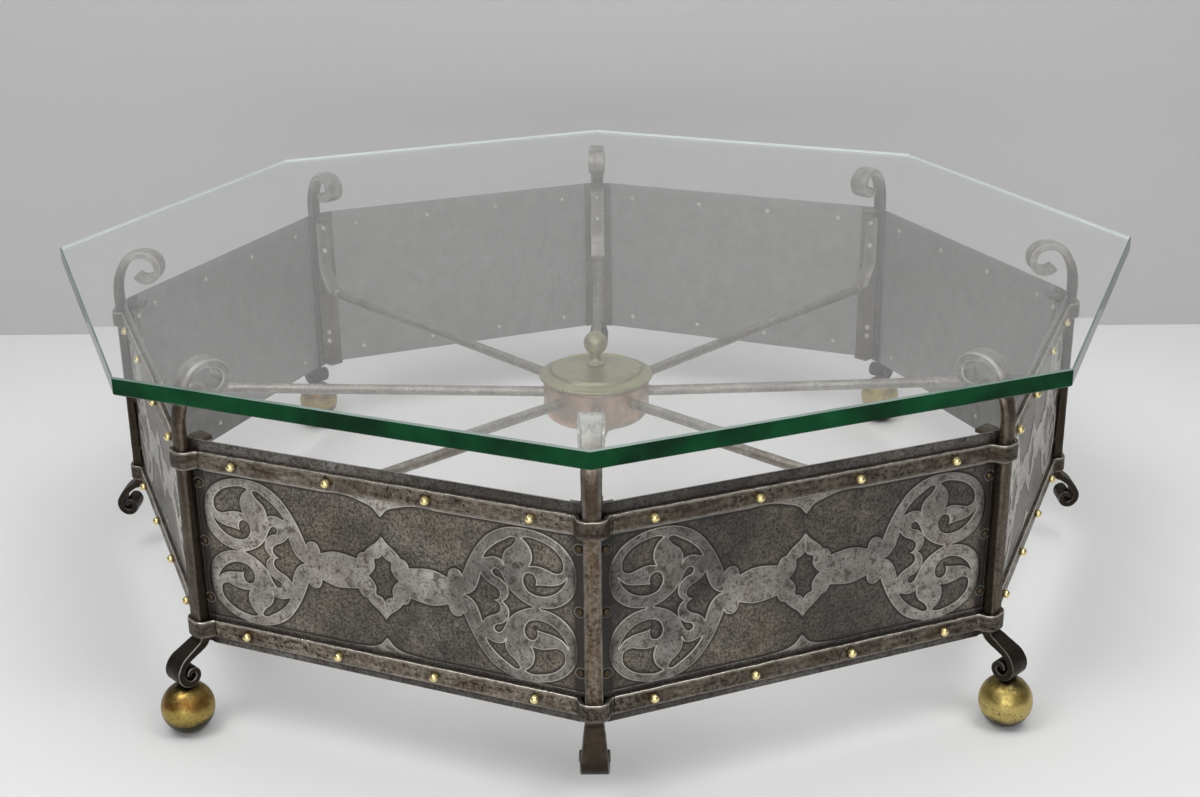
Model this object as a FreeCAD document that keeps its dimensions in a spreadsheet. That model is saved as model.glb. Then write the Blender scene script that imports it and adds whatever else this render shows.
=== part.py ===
"""Octagonal coffee table: a loose glass plate on eight forged posts.

Etched panels hang on riveted rails between the posts, and eight spokes tie the corners to a hub.
Millimetres, +Z up, the origin on the floor under the middle of the table, the front towards -Y.
"""
import FreeCAD
import Part
import Sketcher
import math
import os

# Driving sizes: alias, value, what it measures
SIZES = (
    ("glass_across_flats", 1219.2, "glass plate from flat to flat"),
    ("glass_thickness", 19.05, "glass plate"),
    ("glass_arris", 2.5, "ground bevel along the plate's edges"),
    ("glass_gap", 0.3, "air between the scrolls and the loose plate"),
    ("frame_height", 395.5, "floor to the top of the scrolls"),
    ("post_inset", 66.6, "plate's corner to the middle of a post"),
    ("post_width", 18.0, "post bar, along the side"),
    ("post_thickness", 12.0, "post bar, outwards"),
    ("scroll_width", 28.0, "flared end of the top scroll"),
    ("scroll_flare_length", 57.0, "length over which the top scroll widens"),
    ("scroll_thickness", 9.0, "drawn-out bar of the top scroll"),
    ("scroll_lead_radius", 68.0, "first, slow bend of the top scroll"),
    ("scroll_lead_turn", 33.0, "degrees"),
    ("scroll_crown_radius", 27.0, "bend over the top"),
    ("scroll_crown_turn", 80.0, "degrees"),
    ("scroll_curl_radius", 15.7, "tight curl at the end"),
    ("scroll_curl_turn", 209.0, "degrees"),
    ("foot_width", 27.0, "flared strap of the foot scroll"),
    ("foot_thickness", 8.0, "drawn-out strap of the foot scroll"),
    ("foot_bend_radius", 9.0, "bend outwards under the lower collar"),
    ("foot_bend_turn", 65.0, "degrees"),
    ("foot_drop", 1.25, "lower collar to the start of the foot's first bend"),
    ("foot_neck_plain", 2.0, "straight neck of a foot without a ball"),
    ("foot_sweep_radius_ball", 22.0, "sweep downwards of a foot that has a ball"),
    ("foot_sweep_radius_plain", 38.0, "sweep downwards of a foot without a ball"),
    ("foot_sweep_turn", 42.0, "degrees"),
    ("foot_heel_radius", 12.5, "bend back inwards"),
    ("foot_heel_turn", 73.0, "degrees"),
    ("foot_curl_radius", 9.0, "rolled end of the foot"),
    ("foot_curl_turn", 185.0, "degrees"),
    ("foot_flare_height", 34.0, "height over which the foot strap widens"),
    ("ball_diameter", 57.15, "ball foot"),
    ("ball_flat", 0.3, "worn flat under the ball"),
    ("stud_diameter", 8.0, "stud between ball and foot"),
    ("stud_depth", 16.0, "stud inside the ball"),
    ("rail_height", 19.05, "rail band, up and down"),
    ("rail_thickness", 4.0, "rail band, outwards"),
    ("top_rail_drop", 85.6, "top of the scrolls to the middle of the top rail"),
    ("bottom_rail_middle", 116.2, "floor to the middle of the bottom rail"),
    ("collar_inset", 2.0, "post's width less the flat front of the collar"),
    ("collar_corner_radius", 6.0, "collar bend beside the front, at mid band"),
    ("collar_root_radius", 7.0, "collar bend at the rail, at mid band"),
    ("collar_lean", 15.0, "degrees that the collar's flanks spread"),
    ("fit_gap", 0.2, "air between pieces that are pushed together"),
    ("panel_thickness", 2.0, "sheet panel"),
    ("panel_rise", 11.5, "panel above the top rail"),
    ("panel_drop", 9.5, "panel below the bottom rail"),
    ("panel_corner", 6.0, "rounded corner of a panel"),
    ("panel_tuck", 0.6, "panel edge behind the post's flank"),
    ("rivet_head", 8.9, "dome head of a rivet, across"),
    ("rivet_head_height", 3.8, "dome head of a rivet"),
    ("rivet_shank", 4.0, "rivet shank, across"),
    ("rivet_tail", 6.4, "set end of a rivet, across"),
    ("rivet_tail_height", 1.6, "set end of a rivet"),
    ("rivet_end", 51.4, "panel's end to the first rivet of a rail"),
    ("strap_thickness", 3.0, "wings of the corner strap"),
    ("strap_reach", 20.0, "middle of the corner to the edge of a wing"),
    ("tongue_width", 21.0, "tongue of the corner strap and paddle of the spoke"),
    ("tongue_thickness", 4.0, "tongue of the corner strap"),
    ("hook_radius", 8.0, "turned-in end of the tongue, at mid strap"),
    ("hook_length", 10.0, "straight end of the turned-in tongue"),
    ("hook_inset", 3.0, "turned-in end from the panel's edge"),
    ("edge_rivet_head", 7.4, "low head of a panel-edge rivet, across"),
    ("edge_rivet_head_height", 1.4, "low head of a panel-edge rivet"),
    ("edge_rivet_clear", 0.2, "head of a panel-edge rivet from the post's flank"),
    ("edge_rivet_rise", 2.95, "panel's middle to the middle one of three panel-edge rivets"),
    ("edge_rivet_pitch", 66.0, "panel-edge rivets, up and down"),
    ("paddle_rivet_inset", 9.0, "paddle's top to its upper rivet"),
    ("paddle_rivet_rise", 22.9, "start of the paddle's upright part to its lower rivet"),
    ("strap_rivet_rise", 36.8, "panel's lower edge to the lower one of two strap rivets"),
    ("strap_rivet_pitch", 14.0, "strap rivets, up and down"),
    ("post_rivet_depth", 7.0, "rivet shank inside the post"),
    ("rod_diameter", 12.7, "spoke rod"),
    ("rod_drop", 9.05, "panel's middle to the rod where it enters the bowl"),
    ("rod_rise", 1.2, "degrees that a rod climbs outwards"),
    ("rod_hub_depth", 12.0, "rod inside the hub core"),
    ("shoulder_diameter", 18.0, "ring at the outer end of the rod"),
    ("shoulder_length", 6.0, "ring at the outer end of the rod"),
    ("paddle_thickness", 5.0, "flattened end of the rod"),
    ("paddle_bend_radius", 10.0, "lower bend of the paddle"),
    ("paddle_slant", 57.0, "degrees that the slanted part climbs"),
    ("paddle_slant_length", 27.0, "slanted part of the paddle"),
    ("paddle_knee_radius", 20.0, "upper bend of the paddle"),
    ("paddle_inset", 10.9, "panel's top edge to the top of the paddle"),
    ("core_diameter", 90.0, "block inside the hub"),
    ("core_height", 26.0, "block inside the hub"),
    ("bowl_diameter", 134.0, "copper bowl"),
    ("bowl_wall", 1.6, "copper bowl"),
    ("bowl_side", 38.0, "straight side of the bowl"),
    ("bowl_above_rod", 21.0, "rod to the rim of the bowl"),
    ("bowl_round", 15.0, "rounding under the straight side"),
    ("tier_diameter", 60.0, "ogee tier under the bowl"),
    ("tier_height", 12.0, "bowl floor to the ogee tier"),
    ("tip_diameter", 26.0, "end of the ogee"),
    ("tip_height", 18.0, "ogee tier to its end"),
    ("ogee_swell", 3.0, "bulge of the ogee"),
    ("cover_overhang", 5.0, "brass cover past the bowl"),
    ("cover_edge", 3.2, "rolled edge of the cover, up and down"),
    ("cover_ring_inset", 12.5, "side of the bowl to the raised ring on the cover"),
    ("cover_ring_rise", 7.0, "cover edge to the raised ring"),
    ("cover_crown_rise", 5.0, "raised ring to the crown"),
    ("cover_wall", 2.0, "brass cover"),
    ("finial_base_diameter", 24.0, "foot of the finial"),
    ("finial_base_height", 4.0, "foot of the finial"),
    ("finial_neck_diameter", 13.0, "neck of the finial"),
    ("finial_neck_height", 9.0, "neck of the finial"),
    ("finial_waist", 2.0, "how far the curve below the neck is drawn in"),
    ("finial_ball_diameter", 30.4, "ball of the finial"),
    ("knob_diameter", 17.0, "bottom knob"),
    ("knob_height", 14.0, "bottom knob"),
    ("tie_rod_diameter", 8.0, "threaded rod through the hub"),
)

CORNERS = ("right", "back_right", "back", "back_left", "left", "front_left", "front", "front_right")
SIDES = ("right_back", "back_right", "back_left", "left_back",
         "left_front", "front_left", "front_right", "right_front")
FULL_TURN = 360.0
STEP_ANGLE = FULL_TURN / len(CORNERS)
HALF_ANGLE = STEP_ANGLE / 2
QUARTER_TURN = FULL_TURN / 4
X_AXIS = FreeCAD.Vector(1, 0, 0)
Z_AXIS = FreeCAD.Vector(0, 0, 1)
SLACK = 5.0  # overrun of a cut past the solid
LEVELS = ("top", "bottom")
BALL_CORNERS = (1, 3, 5, 7)  # every second post stands on a ball
RAIL_RIVETS = 4
EDGE_RIVETS = 3
RAIL_MIDDLE = {"top": "(Sizes.frame_height - Sizes.top_rail_drop)", "bottom": "Sizes.bottom_rail_middle"}
RIVET_HOLE = "Sizes.rivet_shank + Sizes.fit_gap"
EDGE_RIVET_RUN = f"{EDGE_RIVETS - 1} * Sizes.edge_rivet_pitch"
TIE_ROD_HOLE = "Sizes.tie_rod_diameter + Sizes.fit_gap"
DRAFT_RADIUS = 5.0  # a circle as first drawn, before its size is tied to the sheet
BOWL_ROUND_TURN = 65.0  # degrees of rounding under the bowl's side
OGEE_BELLY = (0.35, 0.65)  # where the ogee bulges most, as shares of the way inwards and down
KNOB_BULGE = (0.85, 0.8)  # middle of the knob's rounding, as shares of its half width and its side

doc = FreeCAD.newDocument("OctagonalCoffeeTable")
sheet = doc.addObject("Spreadsheet::Sheet", "Sizes")
for row, (alias, value, meaning) in enumerate(SIZES, 1):
    sheet.set(f"A{row}", meaning)
    sheet.set(f"B{row}", str(value))
    sheet.setAlias(f"B{row}", alias)
doc.recompute()


def size(alias):
    """A driving size as a plain number."""
    return float(sheet.get(alias))


def turned(angle):
    """The placement of a piece that is drawn towards +X and stands at this angle round the table."""
    return FreeCAD.Placement(FreeCAD.Vector(), FreeCAD.Rotation(Z_AXIS, angle))


COS_HALF = math.cos(math.radians(HALF_ANGLE))
SIN_HALF = math.sin(math.radians(HALF_ANGLE))
TAN_HALF = math.tan(math.radians(HALF_ANGLE))

# Places that follow from the driving sizes
corner_radius = size("glass_across_flats") / 2 / COS_HALF - size("post_inset")
post_inner = corner_radius - size("post_thickness") / 2
post_outer = corner_radius + size("post_thickness") / 2
panel_edge = size("post_width") / 2 - size("panel_tuck")
collar_front = size("post_width") - size("collar_inset")
rail_heights = {"top": size("frame_height") - size("top_rail_drop"), "bottom": size("bottom_rail_middle")}
panel_face = (post_inner - size("fit_gap")) * COS_HALF + panel_edge * SIN_HALF
panel_back = panel_face - size("panel_thickness")
rail_middle = panel_face + size("rail_thickness") / 2
panel_half = panel_face * TAN_HALF - panel_edge / COS_HALF
rail_rivet_half = panel_half - size("rivet_end")
rail_rivet_pitch = 2 * rail_rivet_half / (RAIL_RIVETS - 1)
panel_top = rail_heights["top"] + size("rail_height") / 2 + size("panel_rise")
panel_bottom = rail_heights["bottom"] - size("rail_height") / 2 - size("panel_drop")
panel_middle = (panel_top + panel_bottom) / 2
strap_back = panel_back - size("strap_thickness")
tongue_face = strap_back / COS_HALF - size("tongue_width") / 2 * TAN_HALF
tongue_middle = tongue_face - size("tongue_thickness") / 2 + size("strap_thickness") / 2
paddle_middle = tongue_middle - (size("tongue_thickness") + size("paddle_thickness")) / 2
edge_rivet_offset = (size("post_width") + size("edge_rivet_head")) / 2 + size("edge_rivet_clear")
edge_rivet_half = panel_face * TAN_HALF - edge_rivet_offset / COS_HALF
edge_rivet_low = panel_middle + size("edge_rivet_rise") - (EDGE_RIVETS - 1) / 2 * size("edge_rivet_pitch")
rod_hub_height = panel_middle - size("rod_drop")
rod_rise = math.radians(size("rod_rise"))
paddle_slant = math.radians(size("paddle_slant"))
paddle_reach = (size("paddle_bend_radius") * (math.sin(paddle_slant) - math.sin(rod_rise))
                + size("paddle_knee_radius") * (1 - math.sin(paddle_slant))
                + size("paddle_slant_length") * math.cos(paddle_slant))
paddle_climb = (size("paddle_bend_radius") * (math.cos(rod_rise) - math.cos(paddle_slant))
                + size("paddle_knee_radius") * math.cos(paddle_slant)
                + size("paddle_slant_length") * math.sin(paddle_slant))
ring_end = paddle_middle - paddle_reach
upright_start = (rod_hub_height + (ring_end - size("bowl_diameter") / 2) * math.tan(rod_rise)
                 + paddle_climb)
paddle_top = panel_top - size("paddle_inset")
paddle_rivets = (paddle_top - size("paddle_rivet_inset"), upright_start + size("paddle_rivet_rise"))
strap_rivet_low = panel_bottom + size("strap_rivet_rise")
strap_rivets = (strap_rivet_low + size("strap_rivet_pitch"), strap_rivet_low)
hub_top = rod_hub_height + size("bowl_above_rod")
cover_top = hub_top + size("cover_edge") + size("cover_ring_rise") + size("cover_crown_rise")
finial_middle = (cover_top + size("finial_base_height") + size("finial_neck_height")
                 + size("finial_ball_diameter") / 2)
bowl_floor = hub_top - size("bowl_side") - size("bowl_round")
bowl_tip = bowl_floor - size("tier_height") - size("tip_height")
rod_start = size("core_diameter") / 2 - size("rod_hub_depth")


def origin_plane(body, role):
    """One of a body's own origin planes or axes."""
    return next(feature for feature in body.Origin.OriginFeatures if feature.Role == role)


def new_body(label):
    body = doc.addObject("PartDesign::Body", label)
    body.Label = label
    return body


def new_sketch(body, name, role, **offsets):
    """A sketch on one of the body's planes; offsets x, y, z are expressions in the sketch's own axes."""
    sketch = body.newObject("Sketcher::SketchObject", name)
    sketch.AttachmentSupport = (origin_plane(body, role), "")
    sketch.MapMode = "FlatFace"
    for axis, expression in offsets.items():
        sketch.setExpression(f"AttachmentOffset.Base.{axis}", expression)
    return sketch


def bind(sketch, constraint, expression):
    """Adds a dimension to a sketch and ties it to the sheet."""
    index = sketch.addConstraint(constraint)
    sketch.setExpression(f"Constraints[{index}]", expression)


def centred_circle(sketch, expression):
    """A circle on the sketch's origin, with its diameter tied to the sheet."""
    circle = sketch.addGeometry(Part.Circle(FreeCAD.Vector(), Z_AXIS, DRAFT_RADIUS))
    sketch.addConstraint(Sketcher.Constraint("Coincident", circle, 3, -1, 1))
    bind(sketch, Sketcher.Constraint("Diameter", circle, 2 * DRAFT_RADIUS), expression)


def extrude(body, kind, sketch, expression, symmetric=False, reverse=False):
    """A Pad or Pocket whose length is tied to the sheet."""
    feature = body.newObject(f"PartDesign::{kind}", kind)
    feature.Profile = sketch
    feature.setExpression("Length", expression)
    feature.SideType = "Symmetric" if symmetric else "One side"
    feature.Reversed = reverse
    return feature


def revolve(body, sketch):
    """A full turn of a half profile about the vertical axis of its sketch."""
    feature = body.newObject("PartDesign::Revolution", "Revolution")
    feature.Profile = sketch
    feature.ReferenceAxis = (sketch, ["V_Axis"])
    feature.Angle = FULL_TURN
    return feature


def outline(sketch, points):
    """A closed outline of straight lines."""
    corners = [FreeCAD.Vector(x, y, 0) for x, y in points]
    for start, end in zip(corners, corners[1:] + corners[:1]):
        sketch.addGeometry(Part.LineSegment(start, end))


def bent_bar(start, heading, steps, thickness):
    """The two long sides of a bar bent along straight runs and tangent arcs in one plane.

    A step is (radius, turn) for an arc, a left turn positive, or (length, 0) for a straight run.
    thickness has one value at the start and one at the end of each step.
    """
    sides = {1: [], -1: []}
    point = FreeCAD.Vector(start[0], start[1], 0)
    angle = math.radians(heading)
    for (reach, turn), before, after in zip(steps, thickness, thickness[1:]):
        stations = [(point, angle, before)]
        bend = math.radians(turn)
        left = FreeCAD.Vector(-math.sin(angle), math.cos(angle), 0)
        for share in (0.5, 1.0):
            if turn == 0:
                moved = point + FreeCAD.Vector(math.cos(angle), math.sin(angle), 0) * reach * share
            else:
                centre = point + left * math.copysign(reach, turn)
                arm = FreeCAD.Rotation(Z_AXIS, turn * share).multVec(point - centre)
                moved = centre + arm
            stations.append((moved, angle + bend * share, before + (after - before) * share))
        for side in sides:
            first, middle, last = [
                place + FreeCAD.Vector(-math.sin(way), math.cos(way), 0) * side * width / 2
                for place, way, width in stations
            ]
            edge = Part.LineSegment(first, last) if turn == 0 else Part.Arc(first, middle, last)
            sides[side].append((edge, first, last))
        point, angle = stations[-1][:2]
    return sides[1], sides[-1]


def draw_bars(sketch, *bars):
    """Draws one or two bent bars as one closed outline; two bars start from the same cross line."""
    for left, right in bars:
        for edge, _first, _last in left + right:
            sketch.addGeometry(edge)
        sketch.addGeometry(Part.LineSegment(left[-1][2], right[-1][2]))
    if len(bars) == 1:
        left, right = bars[0]
        sketch.addGeometry(Part.LineSegment(left[0][1], right[0][1]))


def regular_octagon(sketch, expression):
    """Eight equal sides with their corners on a circle; the expression gives the width across flats."""
    rim = sketch.addGeometry(Part.Circle(FreeCAD.Vector(), Z_AXIS, DRAFT_RADIUS), True)
    sketch.addConstraint(Sketcher.Constraint("Coincident", rim, 3, -1, 1))
    corners = [turned(STEP_ANGLE * index).multVec(X_AXIS * DRAFT_RADIUS) for index in range(len(CORNERS))]
    sides = [sketch.addGeometry(Part.LineSegment(start, end))
             for start, end in zip(corners, corners[1:] + corners[:1])]
    for side, following in zip(sides, sides[1:] + sides[:1]):
        sketch.addConstraint(Sketcher.Constraint("Coincident", side, 2, following, 1))
        sketch.addConstraint(Sketcher.Constraint("PointOnObject", side, 1, rim))
    for side in sides[1:]:
        sketch.addConstraint(Sketcher.Constraint("Equal", sides[0], side))
    sketch.addConstraint(Sketcher.Constraint("PointOnObject", sides[0], 1, -1))
    bind(sketch, Sketcher.Constraint("Diameter", rim, 2 * DRAFT_RADIUS),
         f"{expression} / cos({HALF_ANGLE} deg)")


def make_glass():
    """The plate: an octagon pad with a ground bevel round both faces."""
    body = new_body("glass_top")
    sketch = new_sketch(body, "GlassOutline", "XY_Plane", z="Sizes.frame_height + Sizes.glass_gap")
    regular_octagon(sketch, "Sizes.glass_across_flats")
    extrude(body, "Pad", sketch, "Sizes.glass_thickness")
    doc.recompute()
    plate = body.Tip
    rims = [f"Edge{index}" for index, edge in enumerate(plate.Shape.Edges, 1)
            if abs(edge.Vertexes[0].Z - edge.Vertexes[1].Z) < size("glass_thickness") / 2]
    bevel = body.newObject("PartDesign::Chamfer", "GlassArris")
    bevel.Base = (plate, rims)
    bevel.setExpression("Size", "Sizes.glass_arris")
    return body


def scroll_rise():
    """Height from the end of the straight shaft to the top of the scroll."""
    lead = math.radians(size("scroll_lead_turn"))
    on_lead = size("scroll_lead_radius") * math.sin(lead)
    on_crown = size("scroll_crown_radius") * (1 - math.sin(lead))
    share = (QUARTER_TURN - size("scroll_lead_turn")) / size("scroll_crown_turn")
    full, thin = size("post_thickness"), size("scroll_thickness")
    middle = (full + thin) / 2
    return on_lead + on_crown + (middle + (thin - middle) * share) / 2


def top_scroll(start_height):
    """The upper half of a post: straight shaft, slow lead, crown and curl, thinning on the way."""
    shaft = size("frame_height") - scroll_rise() - start_height
    steps = (
        (shaft, 0),
        (size("scroll_lead_radius"), size("scroll_lead_turn")),
        (size("scroll_crown_radius"), size("scroll_crown_turn")),
        (size("scroll_curl_radius"), size("scroll_curl_turn")),
    )
    full, thin = size("post_thickness"), size("scroll_thickness")
    return bent_bar((corner_radius, start_height), QUARTER_TURN, steps,
                    (full, full, (full + thin) / 2, thin, thin))


def foot_steps(neck, sweep):
    """The bends below the shaft: outwards, a straight neck, a sweep down, the heel and the rolled end."""
    return (
        (size("foot_bend_radius"), size("foot_bend_turn")),
        (neck, 0),
        (sweep, -size("foot_sweep_turn")),
        (size("foot_heel_radius"), -size("foot_heel_turn")),
        (size("foot_curl_radius"), -size("foot_curl_turn")),
    )


def foot_lowest(steps):
    """Lowest point of a foot scroll that starts at the origin: how far out and how far down."""
    heading = -QUARTER_TURN
    out, down = 0.0, 0.0
    for reach, turn in steps:
        start = math.radians(heading)
        stop = math.radians(max(heading + turn, -2 * QUARTER_TURN))
        if turn == 0:
            out += reach * math.cos(start)
            down -= reach * math.sin(start)
        else:
            signed = math.copysign(reach, turn)
            out += signed * (math.sin(stop) - math.sin(start))
            down -= signed * (math.cos(start) - math.cos(stop))
        heading += turn
        if heading <= -2 * QUARTER_TURN:
            break
    return out, down + size("foot_thickness") / 2


# A ball foot's neck is as long as it takes to reach the top of its ball
foot_start = rail_heights["bottom"] - size("rail_height") / 2 - size("foot_drop")
foot_bottom = size("ball_diameter") - size("ball_flat")
drop_without_neck = foot_lowest(foot_steps(0.0, size("foot_sweep_radius_ball")))[1]
ball_neck = (foot_start - foot_bottom - drop_without_neck) / math.cos(math.radians(size("foot_bend_turn")))
BALL_FOOT = foot_steps(ball_neck, size("foot_sweep_radius_ball"))
PLAIN_FOOT = foot_steps(size("foot_neck_plain"), size("foot_sweep_radius_plain"))
ball_radius_out = corner_radius + foot_lowest(BALL_FOOT)[0]
stud_bottom = foot_bottom - size("stud_depth")


def make_post(corner, angle, has_ball):
    """One bar: bent in its radial plane at full width, then narrowed to the shaft from both sides."""
    body = new_body(f"post_{corner}")
    full, strap = size("post_thickness"), size("foot_thickness")
    upper = top_scroll(foot_start)
    lower = bent_bar((corner_radius, foot_start), -QUARTER_TURN, BALL_FOOT if has_ball else PLAIN_FOOT,
                     (full, (full + strap) / 2, strap, strap, strap, strap))
    sketch = new_sketch(body, "BentBar", "XZ_Plane")
    draw_bars(sketch, upper, lower)
    extrude(body, "Pad", sketch, "Sizes.scroll_width", symmetric=True)
    doc.recompute()

    half, wide = size("post_width") / 2, size("scroll_width") / 2
    reach = 2 * (size("scroll_lead_radius") + size("scroll_crown_radius"))
    inner_end = post_inner - reach
    scroll_inner = post_inner - size("scroll_flare_length")
    plan = new_sketch(body, "ScrollFlare", "XY_Plane", z=f"Sizes.frame_height + {SLACK}")
    for side in (1, -1):
        outline(plan, (
            (inner_end, side * wide),
            (scroll_inner, side * wide),
            (post_inner, side * half),
            (post_outer + SLACK, side * half),
            (post_outer + SLACK, side * (wide + SLACK)),
            (inner_end, side * (wide + SLACK)),
        ))
    extrude(body, "Pocket", plan, f"Sizes.frame_height + {SLACK} - {foot_start}")
    doc.recompute()

    foot_half = size("foot_width") / 2
    flare_end = foot_start - size("foot_flare_height")
    front = new_sketch(body, "FootFlare", "YZ_Plane")
    for side in (1, -1):
        outline(front, (
            (side * half, foot_start),
            (side * foot_half, flare_end),
            (side * foot_half, 0.0),
            (side * (wide + SLACK), 0.0),
            (side * (wide + SLACK), foot_start),
        ))
    extrude(body, "Pocket", front, f"{2 * (post_outer + reach)}", symmetric=True)
    doc.recompute()

    if has_ball:
        hole = new_sketch(body, "StudHole", "XY_Plane", x=f"{ball_radius_out}")
        centred_circle(hole, "Sizes.stud_diameter")
        extrude(body, "Pocket", hole, "Sizes.ball_diameter + Sizes.foot_thickness + Sizes.fit_gap",
                reverse=True)
    rivet_holes = new_sketch(body, "RivetHoles", "YZ_Plane", z=f"{post_inner}")
    rivet_circles(rivet_holes, paddle_rivets + strap_rivets)
    extrude(body, "Pocket", rivet_holes, "Sizes.post_rivet_depth + Sizes.fit_gap", reverse=True)
    body.Placement = turned(angle)
    return body


def rivet_circles(sketch, heights):
    """Rivet holes on the sketch's vertical axis, one at each height."""
    for height in heights:
        circle = sketch.addGeometry(Part.Circle(FreeCAD.Vector(0, height, 0), Z_AXIS, DRAFT_RADIUS))
        sketch.addConstraint(Sketcher.Constraint("PointOnObject", circle, 3, -2))
        sketch.addConstraint(Sketcher.Constraint("DistanceY", -1, 1, circle, 3, height))
        bind(sketch, Sketcher.Constraint("Diameter", circle, 2 * DRAFT_RADIUS), RIVET_HOLE)


def repeat(body, feature, sketch, columns, width, rows=1, height="0"):
    """A pattern of a feature along the sketch's two axes."""
    pattern = body.newObject("PartDesign::LinearPattern", "Pattern")
    pattern.Originals = [feature]
    pattern.Direction = (sketch, ["H_Axis"])
    pattern.Occurrences = columns
    pattern.setExpression("Length", width)
    if rows > 1:
        pattern.Direction2 = (sketch, ["V_Axis"])
        pattern.Occurrences2 = rows
        pattern.setExpression("Length2", height)
    body.Tip = pattern
    return pattern


def collar_run():
    """The flank of a collar and where the collar meets the rail, along the side from the corner."""
    lean = math.radians(size("collar_lean"))
    bend, root = size("collar_corner_radius"), size("collar_root_radius")
    front = post_outer + size("fit_gap") + size("rail_thickness") / 2
    out = front - bend * (1 - math.sin(lean)) - root * (COS_HALF - math.sin(lean))
    across = collar_front / 2 + bend * math.cos(lean) + root * (math.cos(lean) - SIN_HALF)
    flank = (out * COS_HALF + across * SIN_HALF - rail_middle) / math.cos(lean + math.radians(HALF_ANGLE))
    return flank, (across + flank * math.sin(lean)) / COS_HALF


def make_rail(level, side, angle):
    """One band: flat along its side, then bent outwards round the next post and back as a collar."""
    body = new_body(f"{level}_rail_{side}")
    flank, root_place = collar_run()
    flat_half = rail_middle * TAN_HALF - root_place
    root_turn = QUARTER_TURN - HALF_ANGLE - size("collar_lean")
    front_turn = QUARTER_TURN - size("collar_lean")
    steps = (
        (2 * flat_half - size("fit_gap"), 0),
        (size("collar_root_radius"), -root_turn),
        (flank, 0),
        (size("collar_corner_radius"), front_turn),
        (collar_front, 0),
        (size("collar_corner_radius"), front_turn),
        (flank, 0),
        (size("collar_root_radius"), -root_turn),
    )
    start = (rail_middle, size("fit_gap") - flat_half)
    band = bent_bar(start, QUARTER_TURN, steps, [size("rail_thickness")] * (len(steps) + 1))
    sketch = new_sketch(body, "BentBand", "XY_Plane", z=f"{RAIL_MIDDLE[level]} - Sizes.rail_height / 2")
    draw_bars(sketch, band)
    extrude(body, "Pad", sketch, "Sizes.rail_height")
    doc.recompute()
    hole = new_sketch(body, "RivetHole", "YZ_Plane", x=f"{-rail_rivet_half}", y=RAIL_MIDDLE[level],
                      z=f"{panel_face + SLACK} + Sizes.rail_thickness")
    centred_circle(hole, RIVET_HOLE)
    pocket = extrude(body, "Pocket", hole, f"Sizes.rail_thickness + {2 * SLACK}")
    repeat(body, pocket, hole, RAIL_RIVETS, f"{2 * rail_rivet_half}")
    body.Placement = turned(angle)
    return body


def make_panel(side, angle):
    """One sheet behind both rails, with round corners and holes for its rivets."""
    body = new_body(f"panel_{side}")
    sketch = new_sketch(body, "Sheet", "YZ_Plane", z=f"{panel_back}")
    outline(sketch, (
        (-panel_half, panel_bottom),
        (panel_half, panel_bottom),
        (panel_half, panel_top),
        (-panel_half, panel_top),
    ))
    extrude(body, "Pad", sketch, "Sizes.panel_thickness")
    doc.recompute()
    sheet_pad = body.Tip
    corners = [f"Edge{index}" for index, edge in enumerate(sheet_pad.Shape.Edges, 1)
               if abs(edge.Vertexes[0].X - edge.Vertexes[1].X) > size("panel_thickness") / 2]
    rounding = body.newObject("PartDesign::Fillet", "SheetCorners")
    rounding.Base = (sheet_pad, corners)
    rounding.setExpression("Radius", "Sizes.panel_corner")
    doc.recompute()
    hole = new_sketch(body, "RailRivetHole", "YZ_Plane",
                      x=f"{-rail_rivet_half}", y=RAIL_MIDDLE["bottom"], z=f"{panel_face + SLACK}")
    centred_circle(hole, RIVET_HOLE)
    pocket = extrude(body, "Pocket", hole, f"Sizes.panel_thickness + {2 * SLACK}")
    repeat(body, pocket, hole, RAIL_RIVETS, f"{2 * rail_rivet_half}", len(LEVELS),
           f"{RAIL_MIDDLE['top']} - {RAIL_MIDDLE['bottom']}")
    doc.recompute()
    edge_hole = new_sketch(body, "EdgeRivetHole", "YZ_Plane", x=f"{-edge_rivet_half}",
                           y=f"{edge_rivet_low}", z=f"{panel_face + SLACK}")
    centred_circle(edge_hole, RIVET_HOLE)
    edge_pocket = extrude(body, "Pocket", edge_hole, f"Sizes.panel_thickness + {2 * SLACK}")
    repeat(body, edge_pocket, edge_hole, 2, f"{2 * edge_rivet_half}", EDGE_RIVETS, EDGE_RIVET_RUN)
    body.Placement = turned(angle)
    return body


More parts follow.
